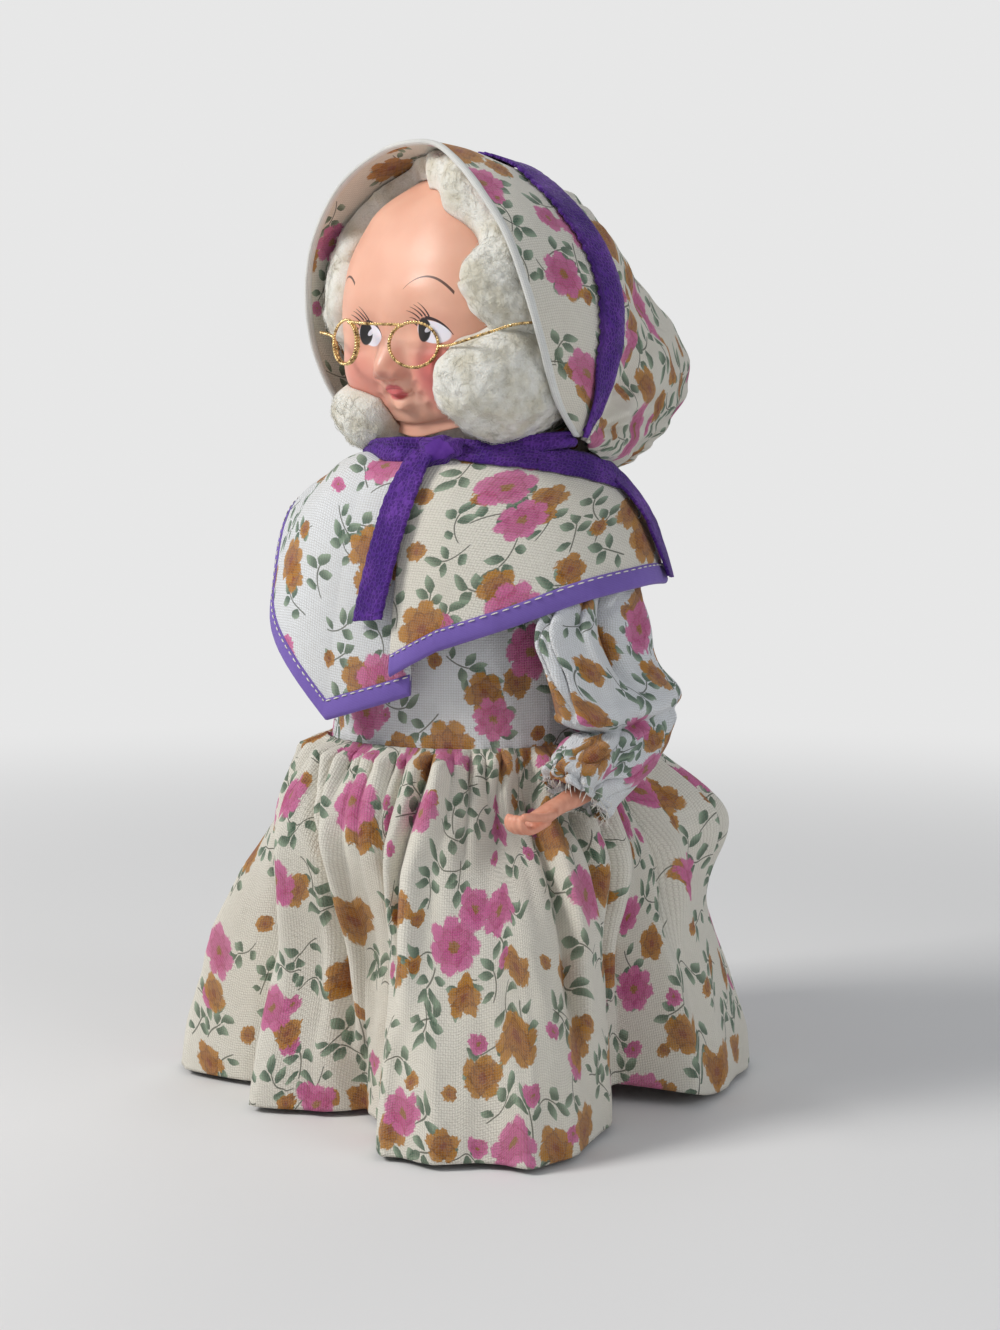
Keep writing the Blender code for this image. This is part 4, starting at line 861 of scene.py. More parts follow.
def stroke(tree, place, start, end, bend, width):
    """A brush stroke from its thick start to its thin end."""
    across, up = end[0] - start[0], end[1] - start[1]
    values = {"Place": place, "Middle": ((start[0] + end[0]) / 2.0, (start[1] + end[1]) / 2.0, 0.0),
              "Turn": math.atan2(up, across), "Half": math.hypot(across, up) / 2.0, "Bend": bend,
              "Width": width}
    return placed(tree, GROUPS["stroke"], values)["Mask"]


def oval(tree, place, middle, size, turn=0.0, softness=0.06):
    """A painted oval's mask."""
    values = {"Place": place, "Middle": (*middle, 0.0), "Turn": math.radians(turn), "Size": (*size, 1.0),
              "Softness": softness}
    return placed(tree, GROUPS["oval"], values)["Mask"]


def paint_eye(tree, place, skin, across, up):
    """White, black iris with its pale notch, lid and lashes of one side-glancing eye."""
    lid_shade = oval(tree, place, (across + 0.0012, up + 0.0012), (0.0080, 0.0050), -14.0, 0.35)
    tone = mix(tree, maths(tree, "MULTIPLY", lid_shade, 0.22), skin, colour(168, 96, 84))
    white = oval(tree, place, (across + 0.0014, up - 0.0004), (0.0060, 0.0032), -13.0)
    tone = mix(tree, white, tone, colour(240, 236, 246))
    iris = oval(tree, place, (across - 0.0014, up + 0.0003), (0.0028, 0.0035), -6.0)
    notch = oval(tree, place, (across + 0.0008, up + 0.0006), (0.0020, 0.0008), 24.0)
    cut = maths(tree, "MULTIPLY", iris, maths(tree, "SUBTRACT", 1.0, maths(tree, "MULTIPLY", notch, 0.92)))
    tone = mix(tree, cut, tone, colour(22, 20, 22))
    lid = stroke(tree, place, (across - 0.0006, up + 0.0038), (across + 0.0078, up - 0.0014), 0.0013, 0.00060)
    far_lid = stroke(tree, place, (across + 0.0002, up + 0.0037), (across - 0.0046, up + 0.0016), -0.0009, 0.00030)
    ink = maths(tree, "MAXIMUM", lid, maths(tree, "MULTIPLY", far_lid, 0.6))
    for x, z, tip_x, tip_z, bend in LASHES:
        lash = stroke(tree, place, (across + x, up + z), (across + tip_x, up + tip_z), -bend, 0.00030)
        ink = maths(tree, "MAXIMUM", ink, lash)
    return mix(tree, ink, tone, colour(44, 22, 26))


def painted_vinyl():
    """Peach vinyl with airbrushed cheeks and painted eyes, brows and lips, with painted shade round the nose and
    painted highlights on its tip and the forehead.
    """
    glow = (0.12, (0.006, 0.002, 0.0012), 0.4)
    made, tree, shader = new_material("painted peach vinyl", 0.42, specular=0.45, glow=glow)
    full = object_place(tree)
    x, _, z = parts_of(tree, full)
    place = joined(tree, x, z)
    mottle = noisy(tree, full, 90.0, 3.0)
    skin = mix(tree, fade(tree, mottle, 0.3, 0.7), colour(230, 172, 148), colour(236, 182, 158))
    # Lighter soft oval on the forehead: painted highlight.
    forehead_highlight = oval(tree, place, (0.004, 0.262), (0.024, 0.018), 0.0, 0.9)
    skin = mix(tree, maths(tree, "MULTIPLY", forehead_highlight, 0.35), skin, colour(240, 184, 156))
    for across, share in CHEEKS:
        blush = oval(tree, place, (across, 0.2235), (0.0094, 0.0096), 0.0, 0.62)
        skin = mix(tree, maths(tree, "MULTIPLY", blush, share), skin, colour(210, 88, 92))
    # Darker patches round, under and beside the nose: painted shade; the lighter one on its tip: painted highlight.
    for middle, size, share, tone in NOSE_PAINTED_SHADE_AND_HIGHLIGHT:
        patch = oval(tree, place, middle, size, 0.0, 0.6)
        skin = mix(tree, maths(tree, "MULTIPLY", patch, share), skin, colour(*tone))
    for across, up in EYES:
        skin = paint_eye(tree, place, skin, across, up)
    lips = oval(tree, place, (-0.0008, MOUTH_HEIGHT - 0.0006), (0.0044, 0.0023), 0.0, 0.18)
    dip = oval(tree, place, (0.0, MOUTH_HEIGHT + 0.0026), (0.0014, 0.0012), 0.0, 0.3)
    lips = maths(tree, "MULTIPLY", lips, maths(tree, "SUBTRACT", 1.0, dip))
    skin = mix(tree, maths(tree, "MULTIPLY", lips, 0.82), skin, colour(196, 70, 84))
    parting = stroke(tree, place, (-0.0050, MOUTH_HEIGHT), (0.0036, MOUTH_HEIGHT), 0.0004, 0.00034)
    skin = mix(tree, maths(tree, "MULTIPLY", parting, 0.5), skin, colour(128, 30, 44))
    for start_x, start_z, end_x, end_z, bend in BROWS:
        rise = bend * (-1.0 if end_x < start_x else 1.0)
        brow = stroke(tree, place, (start_x, start_z), (end_x, end_z), rise, 0.00050)
        skin = mix(tree, maths(tree, "MULTIPLY", brow, 0.9), skin, colour(58, 34, 30))
    rough = fade(tree, mottle, 0.3, 0.7, 0.36, 0.46)
    return dressed(made, tree, shader, skin, rough, noisy(tree, full, 1800.0), 0.12, 0.0001)


def peach_vinyl():
    """Thin peach vinyl of the hands, mottled in two tones."""
    glow = (0.12, (0.004, 0.0016, 0.001), 0.4)
    made, tree, shader = new_material("peach vinyl", 0.45, specular=0.45, glow=glow)
    place = object_place(tree)
    mottle = noisy(tree, place, 260.0, 3.0)
    tone = mix(tree, fade(tree, mottle, 0.3, 0.7), colour(214, 144, 118), colour(228, 164, 138))
    rough = fade(tree, mottle, 0.3, 0.7, 0.40, 0.52)
    return dressed(made, tree, shader, tone, rough, noisy(tree, place, 1800.0), 0.12, 0.0001)


FINISHES = {}


def make_finishes():
    """Every finish of the doll."""
    make_groups()
    # One printed cotton given two grounds: a cool one on the pieces where bluish light falls and a warm one where warm
    # light falls, as painted light.
    warm_lit_ground = colour(232, 228, 216)
    cool_lit_ground = colour(228, 231, 234)
    for label, name, ground, across, up in (
            ("skirt", "skirt", warm_lit_ground, 0.0, 0.0), ("bodice", "bodice", cool_lit_ground, 0.313, 0.171),
            ("collar_left", "left collar", warm_lit_ground, 0.522, 0.044), ("collar_right", "right collar", cool_lit_ground, 0.117, 0.391),
            ("brim", "brim", warm_lit_ground, 0.741, 0.283), ("crown", "crown", warm_lit_ground, 0.255, 0.617),
            ("sleeve_left", "left sleeve", cool_lit_ground, 0.864, 0.512), ("sleeve_right", "right sleeve", cool_lit_ground, 0.402, 0.833)):
        FINISHES[label] = printed_cotton(name + " cotton", ground, (across, up, 0.0))
    FINISHES["plain"] = plain_cotton("white cotton", colour(226, 226, 222), 0.0005, 0.5)
    FINISHES["thread"] = simple_finish("white thread", colour(236, 234, 226), colour(206, 202, 190), 0.8, 3000.0)
    FINISHES["binding"] = plain_cotton("lavender tape", colour(122, 98, 180), 0.0003, 0.3)
    FINISHES["lace"] = lace_ribbon()
    FINISHES["hair"] = cotton_wool()
    FINISHES["gold"] = gold_wire()
    FINISHES["face"] = painted_vinyl()
    FINISHES["hand"] = peach_vinyl()
    FINISHES["foam"] = simple_finish("white foam", colour(232, 232, 230), colour(214, 214, 212), 0.9, 900.0,
                                     depth=0.6)
    FINISHES["wood"] = simple_finish("birch dowel", colour(206, 168, 122), colour(188, 146, 98), 0.6, 260.0)
    FINISHES["pink"] = simple_finish("glossy pink", colour(232, 176, 186), colour(226, 166, 178), 0.14, 60.0,
                                     coat=0.6, depth=0.03)
    FINISHES["stud"] = simple_finish("black stud", colour(34, 32, 34), colour(52, 50, 52), 0.35, 900.0,
                                     metallic=0.4)
    FINISHES["padding"] = simple_finish("arm padding", colour(224, 222, 212), colour(198, 194, 180), 0.95, 500.0,
                                        depth=0.7)


# Cloth measures

def declare_cloth(grid, closed=False):
    """Measure a sheet's widest row and longest column on the grid that it was made on; the measures are not kept."""
    wide = 0.0
    for row in grid:
        after = row[1:] + row[:1] if closed else row[1:]
        wide = max(wide, sum((second - first).length for first, second in zip(row, after)))
    long = 0.0
    for column in range(len(grid[0])):
        run = sum((below[column] - above[column]).length for above, below in zip(grid, grid[1:]))
        long = max(long, run)
    points = [point for row in grid for point in row]


# Skirt

def arm_dent(angle, height):
    """How far the skirt is pushed in under the arms, from 0 to 1."""
    side = abs(abs(wrap(angle)) - ARM_DENT_ANGLE)
    dent = smooth_step((ARM_DENT_HALF_ANGLE - side) / ARM_DENT_FADE_ANGLE)
    span = ARM_DENT_FULL_SHARE - ARM_DENT_FOOT_SHARE
    return dent * smooth_step((height / WAIST_HEIGHT - ARM_DENT_FOOT_SHARE) / span)


def skirt_radius(angle, height):
    """Radius of the skirt's main folds."""
    length = WAIST_HEIGHT - HEM_HEIGHT
    down = (WAIST_HEIGHT - height) / length
    place = down - ARM_DENT_DROP * arm_dent(angle, height) / length
    bell = sum(table(BELL_SHARES, place + step, False) for step in (-0.05, -0.02, 0.02, 0.05)) / 4.0
    puff = math.exp(-(wrap(angle - 137.0) / 21.0) ** 2) + 0.6 * math.exp(-(wrap(angle + 150.0) / 26.0) ** 2)
    lobe = blend(WAIST_RADIUS, HEM_RADIUS, bell) + 0.0150 * puff * math.exp(-((height - 0.087) / 0.017) ** 2)
    first, last = FOLD_SHARES[0], FOLD_SHARES[-1]
    around = ((last[0] - 360.0, last[1]),) + FOLD_SHARES + ((first[0] + 360.0, first[1]),)
    fold = table(around, wrap(angle)) * 0.35 + table(around, wrap(angle), False) * 0.65
    valley = blend(WAIST_RADIUS, VALLEY_RADIUS, down ** 1.7)
    return blend(lobe, blend(valley, lobe, fold), smooth_step(down / FOLD_DEPTH_SHARE))


def skirt_point(angle, down):
    """Point of the skirt: main folds, waist gathers, soft creases and the hem's rise."""
    height = blend(WAIST_HEIGHT, HEM_HEIGHT, down)
    turn = math.radians(angle)
    around = (math.cos(turn), math.sin(turn))
    free = 1.0 - arm_dent(angle, height)
    radius = skirt_radius(angle, height)
    wander = 1.5 * ripple(around[0] * 2.2, around[1] * 2.2, down * 0.9)
    gather = abs(math.sin(turn * GATHERS / 2.0 + 1.4 * wander)) ** 0.9
    fewer = abs(math.sin(turn * 9.0 + 2.2 * ripple(around[0] * 2.0, around[1] * 2.0, 30.0)))
    uneven = 0.62 + 0.70 * ripple(around[0] * 5.0, around[1] * 5.0, 4.0)
    radius += GATHER_DEPTH * uneven * (gather * math.exp(-down / 0.12) + 0.7 * fewer * math.exp(-down / 0.30)) * (
        smooth_step(down / 0.03))
    for top, middle, foot, end, depth, width in CREASES:
        off = wrap(angle - table(((0.0, top), (0.3, middle), (1.0, foot)), down, False)) / width
        if abs(off) < 6.0:
            held = depth * smooth_step(down / 0.04) * smooth_step((end - down) / 0.25)
            radius += held * (0.55 * math.exp(-((off - 2.0) / 1.5) ** 2) - math.exp(-off ** 2))
    crease = ripple(around[0] * 4.2, around[1] * 4.2, down * 1.5 + 11.0)
    crease += 0.5 * ripple(around[0] * 9.0, around[1] * 9.0, down * 2.4 + 3.0)
    pinch = 0.5 - abs(ripple(around[0] * 3.4 + down * 0.7, around[1] * 3.4, down * 1.1 + 17.0)) * 2.2
    radius += (0.0021 * crease + 0.0022 * pinch) * smooth_step(down / 0.25) * (0.25 + 0.75 * free)
    radius += 0.0006 * ripple(around[0] * 15.0, around[1] * 15.0, down * 11.0)
    floor = VALLEY_RADIUS - 0.0016
    radius = max(radius, blend(WAIST_RADIUS - 0.0004, floor, down ** 1.7))
    rise = 0.0042 * math.exp(-(wrap(angle - 104.0) / 8.0) ** 2)
    rise += 0.0012 * (0.5 + 0.5 * ripple(around[0] * 3.0, around[1] * 3.0, 20.0))
    return polar(angle, radius, height + rise * smooth_step((down - 0.7) / 0.3))


def make_skirt():
    """Gathered skirt, cut as one straight strip and seamed at the back."""
    sides, rows = 720, 112
    grid = [[skirt_point(360.0 * step / sides - 180.0, row / (rows - 1)) for step in range(sides)]
            for row in range(rows)]
    made = cloth_piece("skirt_cloth", grid, strip_places(grid), FINISHES["skirt"], "body", closed=True)
    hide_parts("skirt")
    declare_cloth(grid, closed=True)


# Bodice

def bodice_radius(height):
    """Radius of the bodice cloth at a height."""
    outline = [(TORSO_SHARES[0][1], 1.0)] + [(up, out) for out, up in TORSO_SHARES[1:]]
    share = (height - WAIST_HEIGHT) / TORSO_LENGTH
    return CORE_RADIUS * table(outline, share, False) + BODICE_THICKNESS - CLOTH / 2.0


def bodice_point(angle, share):
    """Point of the bodice between its waist (0) and its neckline (1)."""
    height = blend(WAIST_HEIGHT - 0.0018, NECKLINE_HEIGHT - 0.0008, share)
    turn = math.radians(angle)
    x, y = math.cos(turn) * 3.0, math.sin(turn) * 3.0
    radius = sum(bodice_radius(height + step) for step in (-0.005, 0.0, 0.005)) / 3.0
    pull = ripple(x, y, share * 2.5) + 0.6 * ripple(x * 2.4, y * 2.4, share * 5.0 + 7.0)
    waist = math.exp(-share / 0.05)
    radius += 0.0009 * pull * smooth_step(share / 0.08) - 0.0002
    radius += waist * (0.0009 + 0.0004 * math.sin(turn * GATHERS * 0.8))
    side = abs(abs(wrap(angle)) - 76.0)
    radius += 0.0006 * math.exp(-(side / 1.1) ** 2)
    return polar(angle, radius, height)


def make_bodice():
    """Fitted bodice with side seams."""
    sides, rows = 300, 60
    grid = [[bodice_point(360.0 * step / sides - 180.0, 1.0 - row / (rows - 1)) for step in range(sides)]
            for row in range(rows)]
    made = cloth_piece("bodice_cloth", grid, strip_places(grid), FINISHES["bodice"], "body", closed=True)
    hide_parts("bodice")
    declare_cloth(grid, closed=True)


def make_neck_stand():
    """White stand of the bodice's neck, with its seam and its open middle round the dowel."""
    outer = NECK_STAND_RADIUS
    outline = [(outer + 0.0019, NECKLINE_HEIGHT - 0.0026), (outer + 0.0010, NECKLINE_HEIGHT + 0.0008),
               (outer + 0.0003, NECKLINE_HEIGHT + 0.0040), (outer, NECK_STAND_TOP - 0.0016),
               (outer - 0.0003, NECK_STAND_TOP - 0.0005), (outer - 0.0011, NECK_STAND_TOP - 0.0001),
               (outer - 0.0030, NECK_STAND_TOP - 0.0004), (outer * 0.6, NECK_STAND_TOP - 0.0008),
               (0.0068, NECK_STAND_TOP - 0.0010), (0.0068, NECKLINE_HEIGHT - 0.0026)]
    sides = 240
    rows = []
    for radius, height in outline:
        row = []
        for step in range(sides):
            angle = 360.0 * step / sides
            turn = math.radians(angle)
            wave = ripple(math.cos(turn) * 4.0, math.sin(turn) * 4.0, height * 120.0)
            seam = math.exp(-((height - NECKLINE_HEIGHT - 0.0022) / 0.0006) ** 2)
            row.append(polar(angle, radius + 0.0004 * wave - 0.0003 * seam if radius > 0.01 else radius, height))
        rows.append(row)
    stand = capped_piece("neck_stand", rows, FINISHES["plain"], "body", walked(rows))


# Collar

def collar_point(half, along, down, lift=0.0):
    """Point of a collar half: along it from front to back, down it from neck to edge."""
    edge, front, back = half
    first = 1.0 / (len(edge) - 1)
    if along < first:
        angle, out_share, drop_share = (blend(edge[0][part], edge[1][part], along / first) for part in range(3))
    else:
        rest = (along - first) / (1.0 - first)
        angle, out_share, drop_share = (curve_table([entry[part] for entry in edge[1:]], rest) for part in range(3))
    radius = blend(NECKLINE_RADIUS, COLLAR_REACH, out_share)
    height = NECKLINE_HEIGHT - COLLAR_DROP * drop_share
    neck_angle = blend(front, back, (angle - edge[0][0]) / (edge[-1][0] - edge[0][0]))
    full = math.radians(DRAPE_TURN)
    turn = down * full
    out = math.sin(turn) / math.sin(full)
    up = (math.cos(turn) - math.cos(full)) / (1.0 - math.cos(full))
    around = blend(neck_angle, angle, smooth_step(down / STRAIGHT_DROP_SHARE))
    reach = blend(NECKLINE_RADIUS, radius, out)
    level = blend(height, COLLAR_TOP + 0.0030 * smooth_step((-around - 6.0) / 22.0), up)
    return polar(around, reach + lift * math.sin(turn), level + lift * math.cos(turn))


def down_at(half, along, distance):
    """How far down a collar half a place lies that is a small distance above its lower edge."""
    step = 0.04
    run = (collar_point(half, along, 1.0) - collar_point(half, along, 1.0 - step)).length / step
    return 1.0 - distance / run


def collar_place(half, along, down, lift):
    """Point of a collar half with its soft waves."""
    wave = 0.0008 * ripple(along * 4.0, down * 2.0, half[1]) * smooth_step(down * 2.0)
    return collar_point(half, along, down, lift + wave)


def make_collar(side, half, lift):
    """One half of the cape collar with its bias binding and running stitch."""
    columns, rows = 150, 46
    grid = []
    for row in range(rows):
        line = []
        for column in range(columns):
            along = column / (columns - 1)
            stop = down_at(half, along, BINDING_WIDTH * 0.72)
            line.append(collar_place(half, along, stop * row / (rows - 1), lift))
        grid.append(line)
    drop = walked(grid)

    def flat(row, column):
        turn = math.radians(table([(index / (len(half[0]) - 1), entry[0]) for index, entry in
                                   enumerate(half[0])], column / (columns - 1), False)) * 0.40
        reach = 0.081 - drop(row, column)[1]
        return (reach * math.sin(turn), -reach * math.cos(turn))

    cloth = cloth_piece("collar_cloth_" + side, grid, flat, FINISHES["collar_" + side], "body")
    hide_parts("collar_" + side)
    declare_cloth(grid)
    make_binding(side, half, lift)


def make_binding(side, half, lift):
    """Folded tape over a collar half's lower edge, and its white running stitch."""
    width = BINDING_WIDTH
    section = ((1.0, 0.0004), (0.97, 0.00085), (0.80, 0.00105), (0.45, 0.00115), (0.12, 0.0011),
               (0.02, 0.0008), (-0.04, 0.0002), (-0.03, -0.0003), (0.04, -0.0008), (0.45, -0.0010),
               (0.90, -0.0009), (1.0, -0.0004))
    columns = 220
    grid = []
    for share, out in section:
        line = []
        for column in range(columns):
            along = column / (columns - 1)
            thick = out * (1.0 + 0.10 * ripple(along * 60.0, share))
            line.append(collar_place(half, along, down_at(half, along, width * share), lift + thick))
        grid.append(line)
    arc = [0.0]
    for column in range(1, columns):
        arc.append(arc[-1] + (grid[3][column] - grid[3][column - 1]).length)
    tape = capped_piece("binding_tape_" + side, list(zip(*grid)), FINISHES["binding"], "body",
                        lambda row, column: (arc[row], column * 0.0013))
    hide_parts("binding_" + side)
    runs = []
    count = int(arc[-1] / STITCH_PITCH)
    for number in range(count):
        run = []
        for step in range(5):
            along = (number + 0.18 + 0.64 * step / 4.0) / count
            rise = 0.00112 + 0.00016 * math.sin(math.pi * step / 4.0)
            sway = 0.0001 * ripple(number * 0.7, 3.0)
            run.append(collar_place(half, along, down_at(half, along, width * 0.84 + sway), lift + rise))
        runs.append(run)
    stitches = threads("running_stitch_" + side, runs, 0.00021, 6, FINISHES["thread"], "body")


# Bonnet

def even_line(points, gap):
    """Points spaced evenly along a smooth line through the given ones."""
    places = (len(points) - 1) * 12
    columns = columns_of(points)
    fine = [curve_point(columns, step / places) for step in range(places + 1)]
    line = [fine[0]]
    left = gap
    for before, after in zip(fine, fine[1:]):
        length = (after - before).length
        walk = left
        while walk <= length:
            line.append(before.lerp(after, walk / length))
            walk += gap
        left = walk - length
    return line


def both_sides(entries):
    """Columns of across, back and up for a line that runs over the bonnet from tip to tip."""
    half = [Vector(entry) for entry in entries]
    whole = [Vector((-point.x, point.y, point.z)) for point in reversed(half[1:])] + half
    return columns_of(even_line(whole, 0.002))


EDGE_LINE = both_sides(BRIM_EDGE)
SEAM_LINE = both_sides(CROWN_SEAM)


def line_point(line, hoop):
    """Point of a line over the bonnet: -1 at its right tip, 0 at its top and 1 at its left tip."""
    return curve_point(line, (hoop + 1.0) / 2.0)


def hoop_places(count):
    """Even places from tip to tip."""
    return [(2.0 * step / (count - 1) - 1.0) * 0.998 for step in range(count)]


def hood_point(angle, hoop, lift=0.0):
    """Point of the crown's hoops, which fan out from the two tips."""
    reach = HOOD_HEIGHT * table(HOOP_SHARES, angle) + lift
    turn = hoop * math.pi / 2.0
    power = 2.0 / table(HOOP_SQUARENESS, angle)
    height = reach * max(math.cos(turn), 0.0) ** power
    side = abs(math.sin(turn)) ** power
    width = blend(TIP_HALF_WIDTH, table(HOOP_WIDTHS, angle), smooth_step(2.0 * height / reach)) + lift
    lean = math.radians(angle)
    return Vector((math.copysign(width * side, hoop), TIP_BACK + height * math.sin(lean),
                   TIP_Z + height * math.cos(lean)))


def brim_place(hoop, share):
    """Point of the brim from its front edge (0) to the crown seam (1), a little full, with soft waves."""
    edge = line_point(EDGE_LINE, hoop)
    seam = line_point(SEAM_LINE, hoop)
    spot = edge.lerp(seam, share)
    outward = (spot - Vector((0.0, spot.y * 0.6, 0.235))).normalized()
    fade_out = smooth_step((1.0 - abs(hoop)) * 6.0)
    full = 0.0016 * math.sin(math.pi * share) * fade_out
    wave = 0.0010 * ripple(hoop * 5.0, share * 2.0, 2.0) * math.sin(math.pi * share)
    pleat = 0.0010 * ripple(hoop * 16.0, share * 1.2, 9.0) * smooth_step((share - 0.4) / 0.5) * (1.0 - 0.6 * share)
    return spot + outward * (full + (wave + pleat) * fade_out)


def crown_place(hoop, share):
    """Point of the gathered crown from its seam (0) to the nape (1)."""
    seam = line_point(SEAM_LINE, hoop)
    tight = 1.0 if abs(hoop) < 0.985 else 0.0
    start = math.degrees(math.atan2(seam.y - TIP_BACK, seam.z - TIP_Z)) * tight + 32.0 * (1.0 - tight)
    angle = blend(start, NAPE_ANGLE, share)
    middle = math.sin(math.pi * share)
    fine = abs(math.sin(hoop * 34.0 + 1.6 * ripple(hoop * 7.0, 1.0))) * math.exp(-share / 0.24)
    deep = ripple(hoop * 4.6, share * 1.5, 5.0) * middle
    fold = 0.5 - abs(ripple(hoop * 7.5 + share * 1.5, share * 2.2, 8.0))
    fan = math.sin(math.radians(angle) * 13.0 + 3.0 * ripple(hoop * 3.0, angle * 0.03))
    fan *= smooth_step((abs(hoop) - 0.40) / 0.35) * smooth_step((1.0 - abs(hoop)) / 0.12) * smooth_step(share * 4.0)
    nape = math.sin(hoop * 58.0 + 2.0 * ripple(hoop * 4.0, 6.0)) * smooth_step((share - 0.66) / 0.34)
    lift = 0.0030 * fine * smooth_step((share - 0.07) / 0.06) + 0.0062 * deep + 0.0042 * fold * middle
    lift += 0.0014 * fan + 0.0013 * nape - 0.0014 * middle
    settle = seam - hood_point(start, hoop)
    sag = 0.0050 * smooth_step((share - 0.72) / 0.2) * math.exp(-((abs(hoop) - 0.80) / 0.13) ** 2)
    place = hood_point(angle, hoop, lift * smooth_step((share - 0.05) / 0.08))
    return place + settle * (1.0 - smooth_step(share / 0.45)) - UP * sag


def make_bonnet():
    """Brim with its folded edge, gathered crown and the lace band over their seam."""
    places = hoop_places(200)
    rows = 40
    brim_grid = [[brim_place(hoop, row / (rows - 1)) for hoop in places] for row in range(rows)]
    brim = cloth_piece("brim_cloth", brim_grid, walked(brim_grid), FINISHES["brim"], "head", thickness=0.0011)
    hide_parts("bonnet_brim")
    declare_cloth(brim_grid)
    places = hoop_places(420)
    rows = 84
    crown_grid = [[crown_place(hoop, row / (rows - 1)) for hoop in places] for row in range(rows)]
    place = walked(crown_grid)
    full = place(0, len(places) - 1)[0]

    def flat(row, column):
        return (full * place(row, column)[0] / place(row, len(places) - 1)[0], place(row, column)[1])

    crown = cloth_piece("crown_cloth", crown_grid, flat, FINISHES["crown"], "head", thickness=0.0009)
    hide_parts("bonnet_crown")
    declare_cloth(crown_grid)
    make_brim_edge()
    make_crown_band()


def make_crown_band():
    """Lace ribbon sewn over the crown seam from tip to tip."""
    rows = 11
    grid = [[] for _ in range(rows)]
    for number, hoop in enumerate(hoop_places(420)):
        seam = line_point(SEAM_LINE, hoop)
        run = line_point(SEAM_LINE, min(hoop + 0.01, 1.0)) - line_point(SEAM_LINE, max(hoop - 0.01, -1.0))
        narrow = blend(0.45, 1.0, smooth_step((1.0 - abs(hoop)) / 0.16))
        for row in range(rows):
            share = 2.0 * row / (rows - 1) - 1.0
            scallop = 1.0 + 0.05 * math.sin(number * 1.1) * abs(share) ** 6
            reach = abs(share) * BAND_WIDTH * (0.80 if share < 0.0 else 0.45) * scallop * narrow
            follow = (lambda part: brim_place(hoop, 1.0 - part)) if share < 0.0 else (
                lambda part: crown_place(hoop, part))
            speed = max((follow(0.06) - follow(0.0)).length / 0.06, 0.004)
            part = min(reach / speed, 0.30 if share < 0.0 else 0.07)
            spot = follow(part)
            way = follow(part + 0.02) - follow(part)
            outward = run.cross(way).normalized()
            if outward.dot(spot - HEAD_CENTRE) < 0.0:
                outward.negate()
            lift = 0.0016 + 0.0006 * (1.0 - share * share) + 0.0003 * ripple(hoop * 14.0, share)
            grid[row].append(spot + outward * lift)
    band = cloth_piece("crown_band", grid, walked(grid), FINISHES["lace"], "head", thickness=RIBBON_THICKNESS)
    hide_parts("bonnet_band")


def make_brim_edge():
    """White fold of cloth along the brim's front edge."""
    rings = []
    sides = 10
    for hoop in hoop_places(240):
        edge = brim_place(hoop, 0.0)
        inward = (brim_place(hoop, 0.06) - edge).normalized()
        ahead = line_point(EDGE_LINE, min(hoop + 0.01, 1.0))
        run = (ahead - line_point(EDGE_LINE, max(hoop - 0.01, -1.0))).normalized()
        outward = inward.cross(run).normalized()
        size = 1.0 + 0.12 * ripple(hoop * 16.0, 3.0)
        ring = []
        for step in range(sides):
            turn = math.tau * step / sides
            ring.append(edge + inward * (0.0007 + 0.0014 * math.cos(turn) * size)
                        + outward * 0.00088 * math.sin(turn) * size)
        rings.append(ring)
    edge = capped_piece("brim_fold", rings, FINISHES["plain"], "head", lambda row, column: (row * 0.0011, column * 0.0006))


# Ribbon tie

def make_tie_band():
    """Ribbon round the neck under the chin, from bonnet tip to bonnet tip."""
    rows, columns = 9, 160
    grid = []
    for row in range(rows):
        share = row / (rows - 1)
        line = []
        for step in range(columns):
            angle = blend(-TIE_END_ANGLE, TIE_END_ANGLE, step / (columns - 1))
            out = smooth_step((abs(angle) - TIE_FLARE_START) / (TIE_END_ANGLE - TIE_FLARE_START))
            rise = out * (TIP_Z - TIE_HEIGHT)
            sag = 0.0016 * math.exp(-((abs(angle) - 48.0) / 20.0) ** 2)
            fold = 0.0006 * math.sin(share * 8.0 + angle * 0.06) + 0.0003 * ripple(angle * 0.12, share * 2.0)
            radius = blend(TIE_RADIUS, TIP_HALF_WIDTH - 0.0006, out ** 1.6) + fold
            narrow = blend(1.0, 0.55, out) * (1.0 if angle > 0.0 else blend(1.0, 0.42, smooth_step(-angle / 30.0)))
            level = TIE_HEIGHT + TIE_BAND_HEIGHT * (share - 0.5) * narrow + 0.0014 * smooth_step(-angle / 30.0)
            line.append(polar(angle, radius, level + rise - sag + 0.0003 * ripple(angle * 0.09, 5.0)))
        grid.append(line)
    band = cloth_piece("neck_ribbon", grid, walked(grid), FINISHES["lace"], "head", thickness=RIBBON_THICKNESS)
    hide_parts("tie_band")


